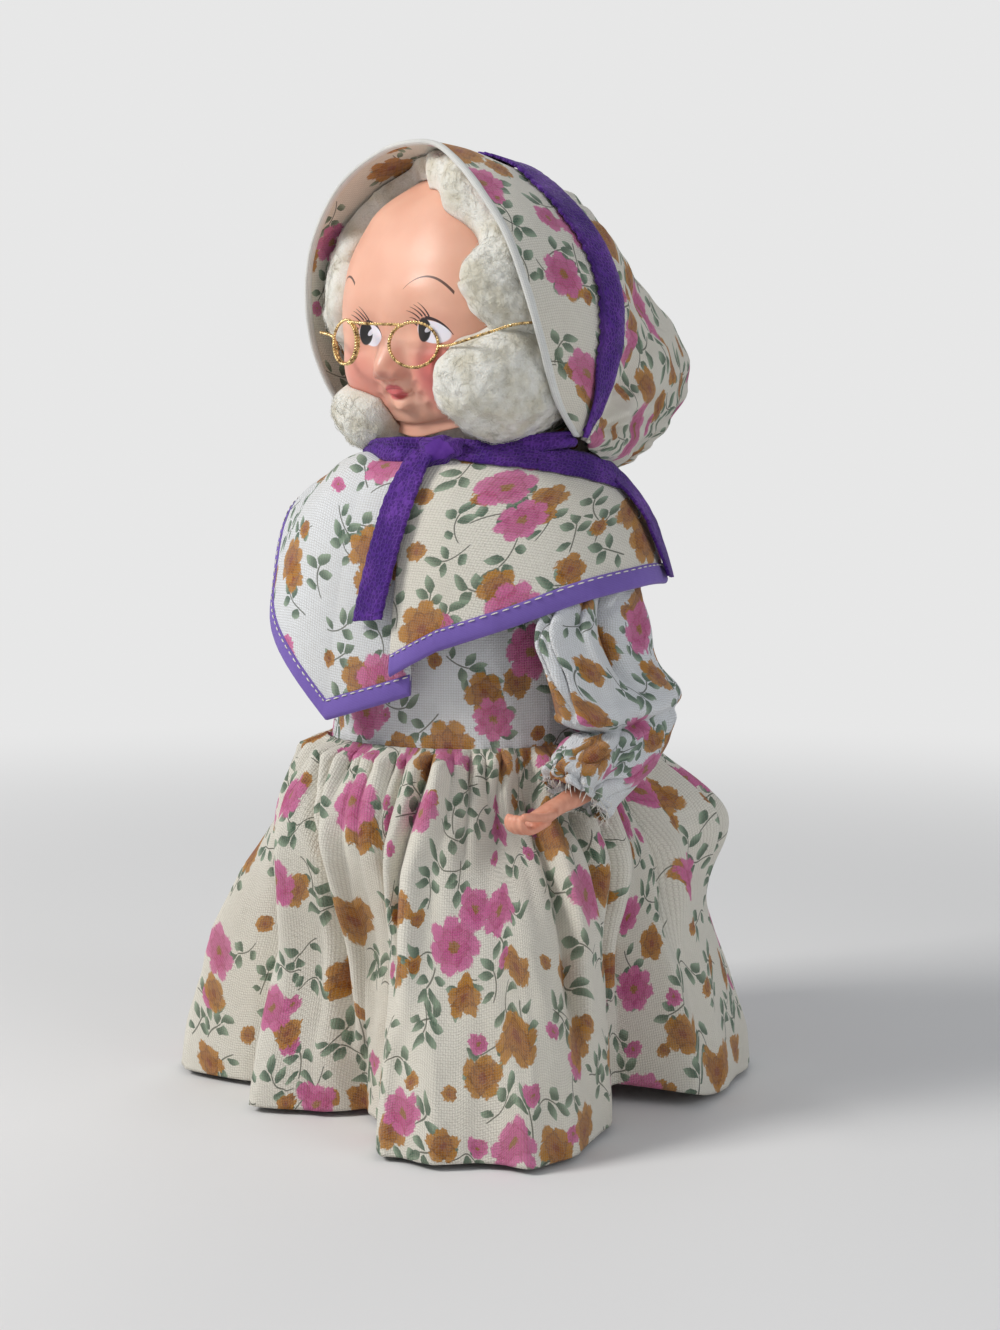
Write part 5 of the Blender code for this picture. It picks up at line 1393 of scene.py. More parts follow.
def make_knot():
    """Knot of the ribbon: a creased wrap pulled tight round the two tails."""
    outward = polar(KNOT_ANGLE, 1.0, 0.0)
    side = UP.cross(outward)
    base = TIE_RADIUS + 0.0016
    rings = []
    count = 26
    sides = 64
    for row in range(count):
        share = row / (count - 1)
        swell = math.sin(math.pi * blend(0.14, 0.86, share)) ** 0.5
        ring = []
        for step in range(sides):
            turn = math.tau * step / sides
            crease = 1.0 + 0.13 * math.sin(3.0 * turn + 2.6 * share) + 0.07 * math.sin(7.0 * turn - 3.0 * share)
            across = math.copysign(abs(math.cos(turn)) ** 0.8, math.cos(turn)) * 0.0068 * swell * crease
            up = math.copysign(abs(math.sin(turn)) ** 0.9, math.sin(turn)) * 0.0046 * swell * crease
            level = TIE_HEIGHT + up + across * 0.18 - 0.0004
            behind = math.sqrt(max(base ** 2 - across ** 2, 0.0)) if share < 0.2 else base
            ring.append(outward * (behind + share * 0.0052) + side * across + UP * level)
        rings.append(ring)
    knot = capped_piece("ribbon_knot", rings, FINISHES["lace"], "body", walked(rings))
    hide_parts("tie_knot")


def make_tail(name, node, half, route, lifts, slant):
    """Ribbon tail lying on a collar half along a route of (place, along, down) entries."""
    steps, across_steps = 90, 11
    centres = []
    for step in range(steps + 1):
        place = step / steps
        along = table([(entry[0], entry[1]) for entry in route], place)
        down = table([(entry[0], entry[2]) for entry in route], place)
        lift = blend(lifts[0], lifts[1], smooth_step(place)) + 0.0003
        centres.append(collar_point(half, along, down, lift))
    grid = []
    for step, centre in enumerate(centres):
        before = centres[max(step - 2, 0)]
        after = centres[min(step + 2, steps)]
        run = (after - before).normalized()
        outward = Vector((centre.x, centre.y, NECKLINE_RADIUS)).normalized()
        across = run.cross(outward).normalized()
        share = step / steps
        width = RIBBON_WIDTH * blend(0.72, 1.04, smooth_step(share * 2.5)) * (1.0 + 0.03 * math.sin(step * 1.3))
        row = []
        for column in range(across_steps):
            side = column / (across_steps - 1) - 0.5
            pleat = 0.0009 * math.cos(side * 14.0) * (1.0 - smooth_step(share * 3.0))
            lift = pleat + 0.00035 * ripple(share * 7.0, side * 2.0, slant)
            cut = slant * width * side * smooth_step((share - 0.9) / 0.1)
            row.append(centre + across * width * side + outward * abs(lift) + run * cut)
        grid.append(row)
    tail = cloth_piece(name, grid, walked(grid), FINISHES["lace"], "body", thickness=RIBBON_THICKNESS)
    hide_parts(node)
    declare_cloth(grid)


# Sleeves

def shoulder(side_sign):
    """Centre of a shoulder joint."""
    return Vector((side_sign * SHOULDER_X, SHOULDER_BACK, SHOULDER_Z))


def sleeve_section(sections, place):
    """Section of a sleeve, read smoothly between the given ones: out, half width, front and rear."""
    rows = [(out, half, *front, *rear) for out, half, front, rear in sections]
    return [curve_table([row[part] for row in rows], place) * ARM_LENGTH for part in range(6)]


def sleeve_point(sections, side_sign, place, angle, swell):
    """Point of a sleeve: 0 to 1 along it, degrees round it (0 at the rear, 90 outside, 180 in front)."""
    out, half, front_y, front_z, rear_y, rear_z = sleeve_section(sections, place)
    middle = shoulder(side_sign) + Vector((side_sign * out, (front_y + rear_y) / 2.0, (front_z + rear_z) / 2.0))
    reach = Vector((0.0, (rear_y - front_y) / 2.0, (rear_z - front_z) / 2.0))
    turn = math.radians(angle)
    spoke = reach * math.cos(turn) + Vector((side_sign * half, 0.0, 0.0)) * math.sin(turn)
    return middle + spoke + spoke.normalized() * swell


# Long folds of a sleeve: where each starts and ends, its degrees round the arm there, depth and width in degrees
SLEEVE_FOLDS = ((0.13, 0.51, 101.0, 90.0, 0.0054, 8.0), (0.12, 0.42, 176.0, 166.0, 0.0018, 9.0),
                (0.14, 0.40, 136.0, 128.0, 0.0010, 9.0), (0.60, 0.90, 118.0, 84.0, 0.0016, 12.0))


def sleeve_fold(place, angle, side_sign):
    """Depth of a sleeve's folds: the long ones, the elbow crease, small puckers and the gathered cuff."""
    turn = math.radians(angle)
    around = (math.cos(turn), math.sin(turn))
    fold = 0.0
    for start, end, first, last, depth, width in SLEEVE_FOLDS:
        share = (place - start) / (end - start)
        line = blend(first, last, share)
        held = smooth_step(share * 4.0) * smooth_step((1.0 - share) * 3.0)
        fold -= depth * held * math.exp(-((angle - line) / width) ** 2)
        fold += depth * 0.45 * held * math.exp(-((angle - line - 1.9 * width) / width) ** 2)
    elbow = 0.566 - 0.040 * math.cos(turn)
    front = 0.45 + 0.55 * (0.5 - 0.5 * math.cos(turn - 0.4))
    fold -= 0.0058 * front * math.exp(-((place - elbow) / 0.020) ** 2)
    fold += 0.0034 * front * math.exp(-((place - elbow + 0.052) / 0.030) ** 2)
    fold += 0.0011 * ripple(around[0] * 2.2, around[1] * 2.2, place * 8.0 + 3.0 * side_sign)
    fold += 0.0007 * ripple(around[0] * 5.0, around[1] * 5.0, place * 16.0)
    pinch = abs(ripple(around[0] * 1.8 + place * 2.0, around[1] * 1.8, place * 5.0 + 9.0))
    fold -= 0.0016 * max(0.0, 0.16 - pinch) / 0.16
    puckers = math.sin(turn * 17.0 + 2.0 * ripple(around[0], around[1], 9.0))
    fold += 0.0007 * puckers * math.exp(-((place - 0.12) / 0.06) ** 2)
    cuff = smooth_step((place - 0.84) / 0.12)
    fold += 0.0008 * cuff * math.sin(turn * 13.0 + 1.5 * ripple(around[0] * 2.0, around[1] * 2.0, 4.0))
    return fold * smooth_step(place * 9.0)


def make_sleeve(side, side_sign, sections):
    """Gathered sleeve, closed over the shoulder and raw at its cuff."""
    body = side + "_arm"
    sides, rows = 150, 130
    grid = []
    crown = sleeve_point(sections, side_sign, 0.0, 0.0, 0.0).lerp(
        sleeve_point(sections, side_sign, 0.0, 180.0, 0.0), 0.5)
    for share in (0.04, 0.35, 0.65, 0.88):
        grid.append([crown.lerp(sleeve_point(sections, side_sign, 0.0, 360.0 * step / sides - 90.0, 0.0), share)
                     for step in range(sides)])
    for row in range(rows):
        place = row / (rows - 1)
        line = []
        for step in range(sides):
            angle = 360.0 * step / sides - 90.0
            fray = 0.012 * ripple(step * 0.9, 7.0) + 0.006 * ripple(step * 3.1, 2.0)
            spot = place * (1.0 + fray * smooth_step((place - 0.95) / 0.05))
            line.append(sleeve_point(sections, side_sign, spot, angle,
                                     sleeve_fold(place, wrap(angle) % 360.0, side_sign) - 0.0005))
        grid.append(line)
    cloth = cloth_piece("sleeve_cloth_" + side, grid, walked(grid), FINISHES["sleeve_" + side], body,
                        thickness=0.0008, closed=True)
    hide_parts("sleeve_" + side)
    declare_cloth(grid, closed=True)
    make_cuff_threads(side, side_sign, sections, body)


def make_armhole(side, side_sign):
    """Gathered cloth between the bodice and the top of a sleeve, round the shoulder joint."""
    rows, sides = 14, 144
    grid = []
    for row in range(rows):
        share = row / (rows - 1)
        line = []
        for step in range(sides):
            turn = math.tau * step / sides
            wander = ripple(math.cos(turn) * 2.0, math.sin(turn) * 2.0, side_sign)
            gather = 0.0006 * math.sin(turn * 22.0 + 2.0 * wander)
            radius = 0.0118 - 0.0022 * share + 0.0010 * math.sin(math.pi * share) + gather
            out = side_sign * blend(0.0362, 0.0492, share)
            line.append(Vector((out, SHOULDER_BACK + radius * math.cos(turn),
                                SHOULDER_Z - 0.0020 + radius * math.sin(turn))))
        grid.append(line)
    ring = cloth_piece("armhole_cloth_" + side, grid, walked(grid), FINISHES["bodice"], "body", thickness=0.0008,
                       closed=True)
    declare_cloth(grid, closed=True)


def make_cuff_threads(side, side_sign, sections, body):
    """Gathering thread round the raw cuff, its loose ends and the frayed threads."""
    dice = random.Random(11 if side == "left" else 12)
    ring = []
    for step in range(97):
        angle = 360.0 * step / 96.0 - 90.0
        lift = sleeve_fold(0.94, wrap(angle) % 360.0, side_sign) + 0.0003 * math.sin(step * 1.7)
        ring.append(sleeve_point(sections, side_sign, 0.94, angle, lift))
    runs = [ring]
    for _ in range(70):
        angle = dice.uniform(0.0, 360.0)
        lift = sleeve_fold(0.995, angle, side_sign) - 0.0005
        start = sleeve_point(sections, side_sign, 0.985, angle, lift)
        behind = sleeve_point(sections, side_sign, 0.90, angle, lift)
        run = (start - behind).normalized()
        bend = Vector((dice.uniform(-1, 1), dice.uniform(-1, 1), dice.uniform(-1, 0.4))) * 0.5
        length = dice.uniform(0.0008, 0.0030)
        runs.append([start + (run + bend * share) * length * share for share in (0.0, 0.35, 0.7, 1.0)])
    for number in range(3):
        start = ring[40 + number * 3]
        sway = dice.uniform(-0.4, 0.4)
        runs.append([start + Vector((sway * 0.004 * share, -0.002 * math.sin(share * 4.0 + number), -0.009 * share))
                     for share in [step / 9.0 for step in range(10)]])
    made = threads("cuff_threads_" + side, runs, 0.00013, 5, FINISHES["thread"], body)


def arm_route(side, side_sign):
    """Middle line of an arm from its shoulder to its wrist."""
    joint = shoulder(side_sign)
    return [joint] + [joint + Vector((side_sign * out, back, up)) * ARM_LENGTH for out, back, up in ARM_ROUTES[side]]


def make_arm(side, side_sign):
    """Wire arm wrapped in padding, inside the sleeve."""
    route = arm_route(side, side_sign)
    joint = route[0]
    outward = Vector((side_sign, 0.0, 0.0))
    centres = [joint - outward * 0.0250, joint - outward * 0.0130, joint - outward * 0.0040]
    columns = columns_of(route)
    count = 90
    centres += [curve_point(columns, step / (count - 1)) for step in range(count)]
    wrist = route[-1]
    run = (wrist - route[-2]).normalized()
    centres += [wrist + run * 0.0003, wrist + run * 0.0040]
    sizes = [0.0016] * 3
    for index in range(3, count + 3):
        swell = smooth_step((index - 2.5) / 5.0)
        sizes.append(ARM_RADIUS * blend(0.55, 0.95 + 0.05 * math.sin(index * 1.9), swell))
    sizes += [0.0010] * 2
    rings = rings_round(centres, sizes, 20, Vector((0.123, 0.456, 0.881)))
    arm = capped_piece("arm_wrap_" + side, rings, FINISHES["padding"], side + "_arm")
    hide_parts("arm_" + side)


# Hands

PALM = ((-0.02, 0.0, 0.0, 0.0034, 0.0033), (0.12, 0.0, 0.0, 0.0034, 0.0032), (0.30, 0.0, 0.0, 0.0030, 0.0027),
        (0.46, 0.0, -0.0002, 0.0032, 0.0025), (0.60, 0.0, -0.0008, 0.0040, 0.0024),
        (0.72, 0.0, -0.0013, 0.0046, 0.0022), (0.80, 0.0, -0.0014, 0.0046, 0.0019))
FINGERS = ((-0.0036, 0.0011, 0.94), (-0.0012, 0.0012, 1.0), (0.0012, 0.0012, 0.98), (0.0035, 0.0010, 0.86))
FINGER_BENDS = ((-0.006, -0.0012), (0.0000, -0.0016), (0.0032, -0.0013), (0.0052, 0.0002), (0.0056, 0.0023),
                (0.0042, 0.0038))
THUMB = ((0.50, -0.0026, -0.0004), (0.64, -0.0046, 0.0006), (0.78, -0.0054, 0.0020), (0.89, -0.0048, 0.0034),
         (0.95, -0.0036, 0.0042))
HAND_LENGTH = 0.0345


def hand_frame(side, side_sign):
    """Start of a hand, the direction that it points, the way to the body and the way up."""
    route = arm_route(side, side_sign)
    wrist = route[-1]
    run = ((wrist - route[-2]).normalized() + UP * 0.20).normalized()
    inward = Vector((-side_sign, 0.0, 0.0))
    across = (inward - run * inward.dot(run)).normalized()
    sky = across.cross(run) * side_sign
    return wrist + run * (SEAT_GAP + 0.0020), run, across, sky


def make_hand(side, side_sign):
    """Moulded hand with curled fingers, made as one skin over palm, fingers and thumb."""
    start, run, across, sky = hand_frame(side, side_sign)

    def spot(along, side_way, up):
        return start + run * along + across * side_way + sky * up

    rings = []
    for share, side_way, up, wide, thick in PALM:
        ring = []
        for step in range(20):
            turn = math.tau * step / 20
            ring.append(spot(share * HAND_LENGTH, side_way + wide * math.cos(turn), up + thick * math.sin(turn)))
        rings.append(ring)
    points = [point for ring in rings for point in ring]
    faces = capped_faces(rings)[0]
    routes = []
    for side_way, radius, length in FINGERS:
        knuckle = 0.78 * HAND_LENGTH
        routes.append(([spot(knuckle + bend * length, side_way * (1.0 - 0.06 * number), up)
                        for number, (bend, up) in enumerate(FINGER_BENDS)], radius))
    routes.append(([spot(share * HAND_LENGTH, side_way, up) for share, side_way, up in THUMB], 0.0013))
    count = 16
    for route, radius in routes:
        columns = columns_of(route)
        smooth = [curve_point(columns, step / (count - 1)) for step in range(count)]
        sizes = []
        for index in range(count):
            tip = math.sqrt(max(1.0 - max((index - count + 4.0) / 3.6, 0.0) ** 2, 0.05))
            sizes.append(radius * tip * blend(1.1, 0.92, index / (count - 1)))
        rings = rings_round(smooth, sizes, 12, across)
        faces += capped_faces(rings, len(points))[0]
        points += [point for ring in rings for point in ring]
    hand = mesh_piece("moulded_hand_" + side, points, faces, FINISHES["hand"], side + "_hand")
    skin = hand.modifiers.new("Skin", "REMESH")
    skin.mode = "VOXEL"
    skin.voxel_size = 0.00038
    skin.use_smooth_shade = True
    soft = hand.modifiers.new("Soft", "SMOOTH")
    soft.factor = 0.5
    soft.iterations = 5
    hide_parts("hand_" + side)


# Head

def ellipsoid_reach(direction, radii):
    """Distance from an ellipsoid's centre to its surface along a unit direction."""
    return 1.0 / Vector((direction.x / radii.x, direction.y / radii.y, direction.z / radii.z)).length


def bump_share(x, z, middle, spread):
    """Height of a soft round bump at a place on the face."""
    return math.exp(-((x - middle[0]) / spread[0]) ** 2 - ((z - middle[1]) / spread[1]) ** 2)


# Bumps on the face: across, up from its centre, spread across, spread up, reach; mirrored where across isn't 0
FACE_BUMPS = (
    (0.0, -0.0176, 0.0044, 0.0044, 0.0066), (0.0, -0.0080, 0.0030, 0.0080, 0.0008),
    (0.0040, -0.0200, 0.0019, 0.0020, 0.0021), (0.0019, -0.0223, 0.0009, 0.0008, -0.0012),
    (0.0, -0.0262, 0.0090, 0.0062, 0.0022), (0.0, -0.0252, 0.0036, 0.0010, 0.0017),
    (0.0, -0.0286, 0.0032, 0.0015, 0.0022), (0.0, -0.0267, 0.0042, 0.0006, -0.0014),
    (0.0, -0.0238, 0.0007, 0.0012, -0.0006), (0.0052, -0.0268, 0.0012, 0.0014, -0.0011),
    (0.0, -0.0350, 0.0086, 0.0050, 0.0040), (0.0, -0.0312, 0.0060, 0.0012, -0.0007),
    (0.0190, -0.0225, 0.0100, 0.0090, 0.0012), (0.0110, -0.0098, 0.0056, 0.0048, -0.0020),
    (0.0146, -0.0098, 0.0054, 0.0036, 0.0008), (0.0115, 0.0020, 0.0100, 0.0040, 0.0006),
    (0.0146, -0.0150, 0.0060, 0.0012, -0.0004),
)
# How much rounder than an egg the head is, by degrees up
FULLNESS = ((-90.0, 0.0), (-76.0, 0.04), (-62.0, 0.13), (-46.0, 0.205), (-33.0, 0.225), (-12.0, 0.16), (14.0, 0.135),
            (40.0, 0.095), (66.0, 0.03), (90.0, 0.0))
SMILE_FOLDS = ((0.0064, -0.0210), (0.0078, -0.0234), (0.0084, -0.0262), (0.0092, -0.0300), (0.0112, -0.0330))


def full_reach(direction):
    """Distance from the head's centre to its round form, before the features."""
    up = math.degrees(math.asin(max(-1.0, min(direction.z, 1.0))))
    level = max(direction.x ** 2 + direction.y ** 2, 1e-9)
    corner = (2.0 * direction.x * direction.y / level) ** 2
    side = blend(0.22, 1.0, corner) if abs(direction.x) < abs(direction.y) else blend(0.62, 1.0, corner)
    back = smooth_step(0.5 - direction.y * 1.6)
    return ellipsoid_reach(direction, FACE_RADII) * (1.0 + table(FULLNESS, up) * side * back)


def face_reach(direction):
    """Distance from the head's centre to the vinyl face."""
    reach = full_reach(direction)
    if direction.y < 0.0:
        point = direction * reach
        for across, up, wide, tall, height in FACE_BUMPS:
            reach += height * bump_share(point.x, point.z, (across, up), (wide, tall))
            if across:
                reach += height * bump_share(point.x, point.z, (-across, up), (wide, tall))
        near = min((math.hypot(abs(point.x) - (first[0] + last[0]) / 2.0, point.z - (first[1] + last[1]) / 2.0)
                    for first, last in zip(SMILE_FOLDS, SMILE_FOLDS[1:])))
        reach -= 0.0008 * math.exp(-(near / 0.0015) ** 2)
    return reach


def mask_direction(across_share, up_share):
    """Direction on the mask: an oval cone round the face's axis."""
    turn = math.tau * up_share
    limit = FACE_HALF_ANGLE - CHIN_CUT_ANGLE * max(-math.cos(turn), 0.0) ** 2
    spread = math.radians(limit) * across_share
    return Vector((math.sin(spread) * math.sin(turn), -math.cos(spread), math.sin(spread) * math.cos(turn)))


def make_face():
    """Moulded face with brow, nose, lips, cheeks and the rim under its chin."""
    sides, rows = 300, 190
    points = [HEAD_CENTRE + mask_direction(0.0, 0.0) * face_reach(mask_direction(0.0, 0.0))]
    for row in range(1, rows + 1):
        share = row / rows
        for step in range(sides):
            direction = mask_direction(share, step / sides)
            low = max(-math.cos(math.tau * step / sides), 0.0) ** 3
            rim = 0.0022 * low * math.exp(-((1.0 - share) / 0.018) ** 2)
            groove = 0.0010 * low * math.exp(-((0.950 - share) / 0.016) ** 2)
            points.append(HEAD_CENTRE + direction * (face_reach(direction) + rim - groove))
    for step in range(sides):
        direction = mask_direction(1.0, step / sides)
        points.append(HEAD_CENTRE + direction * (ellipsoid_reach(direction, BALL_RADII) + 0.0016))
    faces = [(0, 1 + step, 1 + (step + 1) % sides) for step in range(sides)]
    for quad in grid_faces(rows + 1, sides, closed=True)[0]:
        faces.append(tuple(corner + 1 for corner in quad))
    face = mesh_piece("face", points, faces, FINISHES["face"], "head")
    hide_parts("face_mask")


# Hair

def head_direction(across, up):
    """Unit direction from the head's centre: degrees to the doll's left, and degrees up."""
    side = math.radians(across)
    lift = math.radians(up)
    return Vector((math.sin(side) * math.cos(lift), -math.cos(side) * math.cos(lift), math.sin(lift)))


# Hairline by degrees round the face from its top towards the doll's left: degrees from the face's axis
HAIRLINE = ((-104.0, 52.0), (-62.0, 58.0), (-38.0, 70.0), (-21.0, 77.0), (-7.0, 71.0), (8.0, 60.0), (34.0, 50.0),
            (58.0, 54.0), (80.0, 49.0), (104.0, 45.0))
ROOF = {}


def inside_bonnet(point, clearance):
    """The point, or the nearest place towards the head's centre that lies under the bonnet."""
    way = point - HEAD_CENTRE
    _, _, _, room = ROOF["tree"].ray_cast(HEAD_CENTRE, way.normalized())
    if room is None or way.length < room - clearance:
        return point
    return HEAD_CENTRE + way.normalized() * (room - clearance)


def measure_bonnet():
    """Search tree of the bonnet's cloth, for what lies under it."""
    grid = [[brim_place(hoop, row / 16.0) for hoop in hoop_places(120)] for row in range(-3, 17)]
    grid += [[crown_place(hoop, row / 30.0) for hoop in hoop_places(120)] for row in range(1, 31)]
    points = [point for row in grid for point in row]
    ROOF["tree"] = BVHTree.FromPolygons(points, grid_faces(len(grid), 120)[0])


def wool_lumps(direction, seed):
    """Soft lumps and tufts of teased wool, from -1 to 1."""
    large = ripple(direction.x * 3.4 + seed, direction.y * 3.4, direction.z * 3.4)
    tufts = ripple(direction.x * 9.0, direction.y * 9.0 + seed, direction.z * 9.0)
    fuzz = ripple(direction.x * 26.0, direction.y * 26.0, direction.z * 26.0 + seed)
    fine = ripple(direction.x * 70.0, direction.y * 70.0, direction.z * 70.0 + seed)
    return large * 0.45 + tufts * 0.30 + fuzz * 0.16 + fine * 0.08


def pad_direction(pad, a, b):
    """Direction of a place on a pad: a patch beside the face, or a roll round the mask's rim."""
    across, up, half_across, half_up = pad
    if half_across > 90.0:
        inner = table(HAIRLINE, a * half_across)
        spread = math.radians(blend(inner, 57.0 + 0.46 * inner, (1.0 + b) / 2.0))
        turn = math.radians(a * half_across)
        return Vector((math.sin(spread) * math.sin(turn), -math.cos(spread), math.sin(spread) * math.cos(turn)))
    return head_direction(across + a * half_across, up + b * half_up)


def make_pad(name, node, pad, swell, seat, seed):
    """Pad of cotton wool that swells out from the head, with loose fibres over it."""
    rows, columns = 110, 220 if pad[2] > 90.0 else 110
    outer = []
    inner = []
    for row in range(rows):
        outer_row = []
        inner_row = []
        for column in range(columns):
            flat_a = 2.0 * column / (columns - 1) - 1.0
            flat_b = 2.0 * row / (rows - 1) - 1.0
            a = flat_a * math.sqrt(1.0 - flat_b * flat_b / 2.0)
            b = flat_b * math.sqrt(1.0 - flat_a * flat_a / 2.0)
            reach_share = a * a + b * b
            if pad[2] > 90.0:
                a = flat_a
                b = flat_b * (1.0 - abs(flat_a) ** 8 * 0.9)
                reach_share = min(b * b + abs(a) ** 14, 1.0)
            ragged = 1.0 + 0.06 * ripple(math.atan2(b, a) * 3.0, seed, 1.0) * reach_share
            direction = pad_direction(pad, a * ragged, b * ragged)
            base = seat(direction) + 0.0003
            dome = max(1.0 - reach_share, 0.0) ** 0.42
            lumps = wool_lumps(direction, seed)
            reach = base + 0.0007 + swell * dome * (1.0 + 0.22 * lumps) + 0.0010 * lumps * dome
            outer_row.append(inside_bonnet(HEAD_CENTRE + direction * reach, 0.0015))
            inner_row.append(HEAD_CENTRE + direction * base)
        outer.append(outer_row)
        inner.append(inner_row)
    points = [point for row in outer for point in row] + [point for row in inner for point in row]
    size = rows * columns
    faces, _ = grid_faces(rows, columns)
    faces += [tuple(corner + size for corner in reversed(quad)) for quad in faces[:]]
    border = list(range(columns)) + [row * columns + columns - 1 for row in range(1, rows)]
    border += [size - 1 - step for step in range(1, columns)]
    border += [row * columns for row in range(rows - 2, 0, -1)]
    for index, corner in enumerate(border):
        after = border[(index + 1) % len(border)]
        faces.append((corner, after, after + size, corner + size))
    made = mesh_piece(name, points, faces, FINISHES["hair"], "head")
    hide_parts(node)
    make_fibres(name + "_fibres", outer, seed)


def make_fibres(name, outer, seed):
    """Loose fibres that lie over a pad of wool."""
    dice = random.Random(int(seed * 10))
    runs = []
    for _ in range(900):
        row = dice.randrange(3, len(outer) - 4)
        column = dice.randrange(3, len(outer[0]) - 4)
        place = outer[row][column]
        along = outer[row + 2][column] - place
        across = outer[row][column + 2] - place
        normal = across.cross(along)
        if normal.length == 0.0:
            continue
        normal.normalize()
        if normal.dot(place - HEAD_CENTRE) < 0.0:
            normal = -normal
        side = along.normalized()
        other = normal.cross(side)
        heading = dice.uniform(0.0, math.tau)
        curl = dice.uniform(-1.6, 1.6)
        length = dice.uniform(0.0020, 0.0052)
        rise = dice.uniform(0.0001, 0.0007)
        run = []
        for step in range(6):
            share = step / 5.0
            turn = heading + curl * share
            way = side * math.cos(turn) + other * math.sin(turn)
            spot = place + way * length * (share - 0.5) + normal * rise * math.sin(math.pi * share)
            run.append(inside_bonnet(spot, 0.0009))
        runs.append(run)
    fibres = threads(name, runs, 0.00006, 3, FINISHES["hair"], "head")


def ball_reach(direction):
    """Distance from the head's centre to the surface of the foam egg."""
    return ellipsoid_reach(direction, BALL_RADII)


def make_hair():
    """Six pads of cotton wool round the face and at the nape."""
    measure_bonnet()
    make_pad("hair_top_wool", "hair_top", (0.0, 0.0, 104.0, 12.0), 0.0095, face_reach, 1.3)
    make_pad("hair_nape_wool", "hair_nape", (180.0, -30.0, 78.0, 22.0), 0.0110, ball_reach, 2.1)
    make_pad("hair_side_wool_left", "hair_side_left", (74.0, 5.0, 32.0, 23.0), 0.0130, face_reach, 3.7)
    make_pad("hair_jaw_wool_left", "hair_jaw_left", (71.0, -34.0, 41.0, 23.0), 0.0150, face_reach, 6.7)
    make_pad("hair_side_wool_right", "hair_side_right", (-82.0, 6.0, 30.0, 27.0), 0.0100, face_reach, 4.9)
    make_pad("hair_jaw_wool_right", "hair_jaw_right", (-58.0, -50.0, 40.0, 18.0), 0.0108, face_reach, 7.9)


# Spectacles

RING_WIDE = 0.0073
RING_TALL = 0.0066
RING_Y = HEAD_CENTRE.y - HEAD_HALF_DEPTH - 0.0076
LEFT_RING = (0.0086, 0.2329, 38.0)
RIGHT_RING = (-0.0052, 0.2348, 12.0)
LEFT_TEMPLE = ((0.0285, -0.0362, 0.2326), (0.0400, -0.0352, 0.2350), (0.0468, -0.0285, 0.2378),
               (0.0478, -0.0170, 0.2386), (0.0462, -0.0060, 0.2380))
RIGHT_TEMPLE = ((-0.0235, -0.0372, 0.2372), (-0.0330, -0.0336, 0.2390), (-0.0404, -0.0252, 0.2395),
                (-0.0446, -0.0150, 0.2390), (-0.0462, -0.0060, 0.2380))
WIRE_STEP = 0.00016
WIRE_TWIST = 0.0017
STRAND_OFFSET = 0.00024


def ring_point(ring, sign, turn, depth):
    """Point of a ring, which is hung on the bridge at its inner side and turned back."""
    hinge, height, back = ring
    across = RING_WIDE * (1.0 - math.cos(turn))
    lean = math.radians(abs(back))
    return Vector((hinge + sign * (across * math.cos(lean) + depth * math.sin(lean)),
                   RING_Y + math.copysign(across * math.sin(lean), back) - depth * math.cos(lean),
                   height + RING_TALL * math.sin(turn)))


def wire_side(ring, sign, temple):
    """Wire from the bridge round one ring one and a half times and along its temple."""
    count = 60
    line = []
    for step in range(count + 1):
        turn = math.radians(62.0) - math.tau * 1.66 * step / count
        line.append(ring_point(ring, sign, turn, 0.0008 - 0.0016 * step / count))
    return line + [Vector(place) for place in temple]


def wire_path():
    """One wire: right temple, right ring, bridge, left ring, left temple."""
    top = Vector((0.0020, RING_Y - 0.0016, LEFT_RING[1] + RING_TALL * 0.98))
    right = wire_side(RIGHT_RING, -1.0, RIGHT_TEMPLE)
    return right[::-1] + [top] + wire_side(LEFT_RING, 1.0, LEFT_TEMPLE)


def make_spectacles():
    """Spectacles of two gold strands twisted together."""
    line = even_line(wire_path(), WIRE_STEP)
    pairs = rings_round(line, [STRAND_OFFSET] * len(line), 2, UP, WIRE_STEP / WIRE_TWIST * math.tau)
    wire = threads("twisted_wire", list(zip(*pairs)), 0.00026, 7, FINISHES["gold"], "spectacles")
    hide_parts("spectacles")


# Finishes of the solids that stay as they are

def finish_solids():
    """Detailed finishes on the solids that the scene keeps."""
    kept = {"base_disc": "pink", "body_core": "foam", "neck_dowel": "wood", "head_ball": "foam",
            "neck_snap": "stud"}
    for node, label in kept.items():
        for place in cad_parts[node].material_slots:
            place.material = FINISHES[label]


# Floor and light

BACKDROP = (0.80, 0.80, 0.80, 1.0)
FLOOR_REACH = 6.0
FLOOR_HEIGHT = -0.0002


def sees_backdrop(tree):
    """Whether a ray comes from the camera, a reflection or a clear surface."""
    ray = tree.nodes.new("ShaderNodeLightPath").outputs
    other = maths(tree, "MAXIMUM", ray["Is Glossy Ray"], ray["Is Transmission Ray"])
    return maths(tree, "MAXIMUM", ray["Is Camera Ray"], other)


def join_shaders(tree, share, first, second, output):
    """Feed the mix of two shaders to an output node."""
    both = tree.nodes.new("ShaderNodeMixShader")
    feed(tree, both.inputs[0], share)
    tree.links.new(first.outputs[0], both.inputs[1])
    tree.links.new(second.outputs[0], both.inputs[2])
    tree.links.new(both.outputs[0], tree.nodes[output].inputs["Surface"])


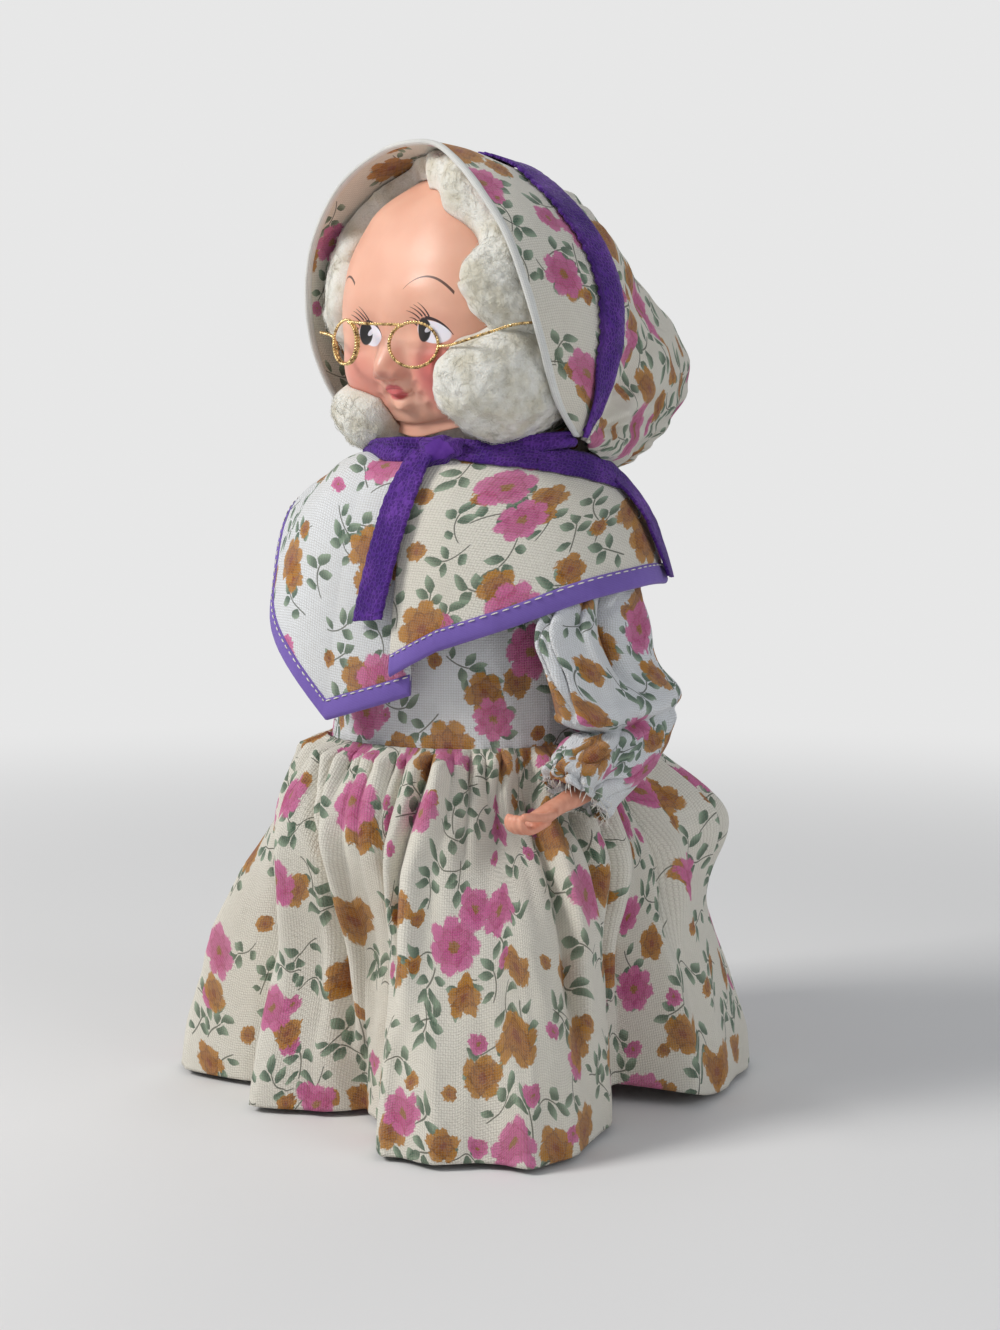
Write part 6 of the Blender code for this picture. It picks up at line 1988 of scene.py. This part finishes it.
def make_floor():
    """Plain pale floor that fades into the backdrop's colour far from the doll."""
    mesh = bpy.data.meshes.new("floor")
    corners = [(x * FLOOR_REACH, y * FLOOR_REACH, FLOOR_HEIGHT) for x, y in ((-1, -1), (1, -1), (1, 1), (-1, 1))]
    mesh.from_pydata(corners, [], [(0, 1, 2, 3)])
    made, tree, shader = new_material("pale floor", 0.8, specular=0.2)
    shader.inputs["Base Color"].default_value = BACKDROP
    glow = tree.nodes.new("ShaderNodeEmission")
    glow.inputs["Color"].default_value = BACKDROP
    far = fade(tree, vectors(tree, "LENGTH", object_place(tree)), 0.30, 0.95)
    join_shaders(tree, maths(tree, "MULTIPLY", far, sees_backdrop(tree)), shader, glow, "Material Output")
    mesh.materials.append(made)
    put_in_scene("floor", mesh)


def make_world():
    """Pale studio walls that give soft even light."""
    world = bpy.data.worlds.new("studio")
    bpy.context.scene.world = world
    world.use_nodes = True
    tree = world.node_tree
    light = tree.nodes["Background"]
    light.inputs["Color"].default_value = (0.92, 0.95, 1.0, 1.0)
    light.inputs["Strength"].default_value = 0.30
    wall = tree.nodes.new("ShaderNodeBackground")
    wall.inputs["Color"].default_value = BACKDROP
    join_shaders(tree, sees_backdrop(tree), light, wall, "World Output")


def make_lamp(name, angle, distance, height, size, power, tone):
    """Soft square lamp aimed at the doll."""
    data = bpy.data.lights.new(name, "AREA")
    data.size = size
    data.energy = power
    data.color = tone
    lamp = put_in_scene(name, data)
    place = polar(angle, distance, height)
    lamp.location = place
    lamp.rotation_euler = (Vector((0.0, 0.0, 0.15)) - place).to_track_quat("-Z", "Y").to_euler()


def make_lights():
    """Key lamp to the left of the camera, fill to its right and a soft lamp behind."""
    make_world()
    make_lamp("key", -26.0, 1.1, 0.95, 0.42, 13.5, (1.0, 0.98, 0.95))
    make_lamp("fill", 96.0, 1.2, 0.65, 0.8, 3.6, (0.95, 0.97, 1.0))
    make_lamp("back", 205.0, 1.2, 1.0, 0.8, 2.6, (1.0, 0.99, 0.96))


def make_doll():
    """Every piece of the doll."""
    make_finishes()
    finish_solids()
    make_skirt()
    make_bodice()
    make_neck_stand()
    make_collar("left", LEFT_HALF, LAP_LIFT)
    make_collar("right", RIGHT_HALF, 0.0)
    make_face()
    make_hair()
    make_bonnet()
    make_tie_band()
    make_knot()
    over_left = LAP_LIFT + RIBBON_LIFT
    make_tail("ribbon_tail_left", "tie_tail_left", RIGHT_HALF,
              ((0.0, 0.02, 0.22), (0.5, 0.05, 0.55), (1.0, 0.075, 0.81)), (over_left + 0.0023, over_left + 0.0011),
              0.22)
    make_tail("ribbon_tail_right", "tie_tail_right", LEFT_HALF,
              ((0.0, 0.10, 0.07), (0.35, 0.42, 0.20), (0.6, 0.72, 0.42), (0.82, 0.90, 0.72), (1.0, 0.965, 0.985)),
              (over_left, over_left), -0.35)
    make_spectacles()
    for side, sign, sections in (("left", 1.0, LEFT_SLEEVE_SHARES), ("right", -1.0, RIGHT_SLEEVE_SHARES)):
        make_armhole(side, sign)
        make_sleeve(side, sign, sections)
        make_arm(side, sign)
        make_hand(side, sign)


make_camera()
bpy.context.scene.view_settings.view_transform = "Standard"
make_doll()
make_floor()
make_lights()
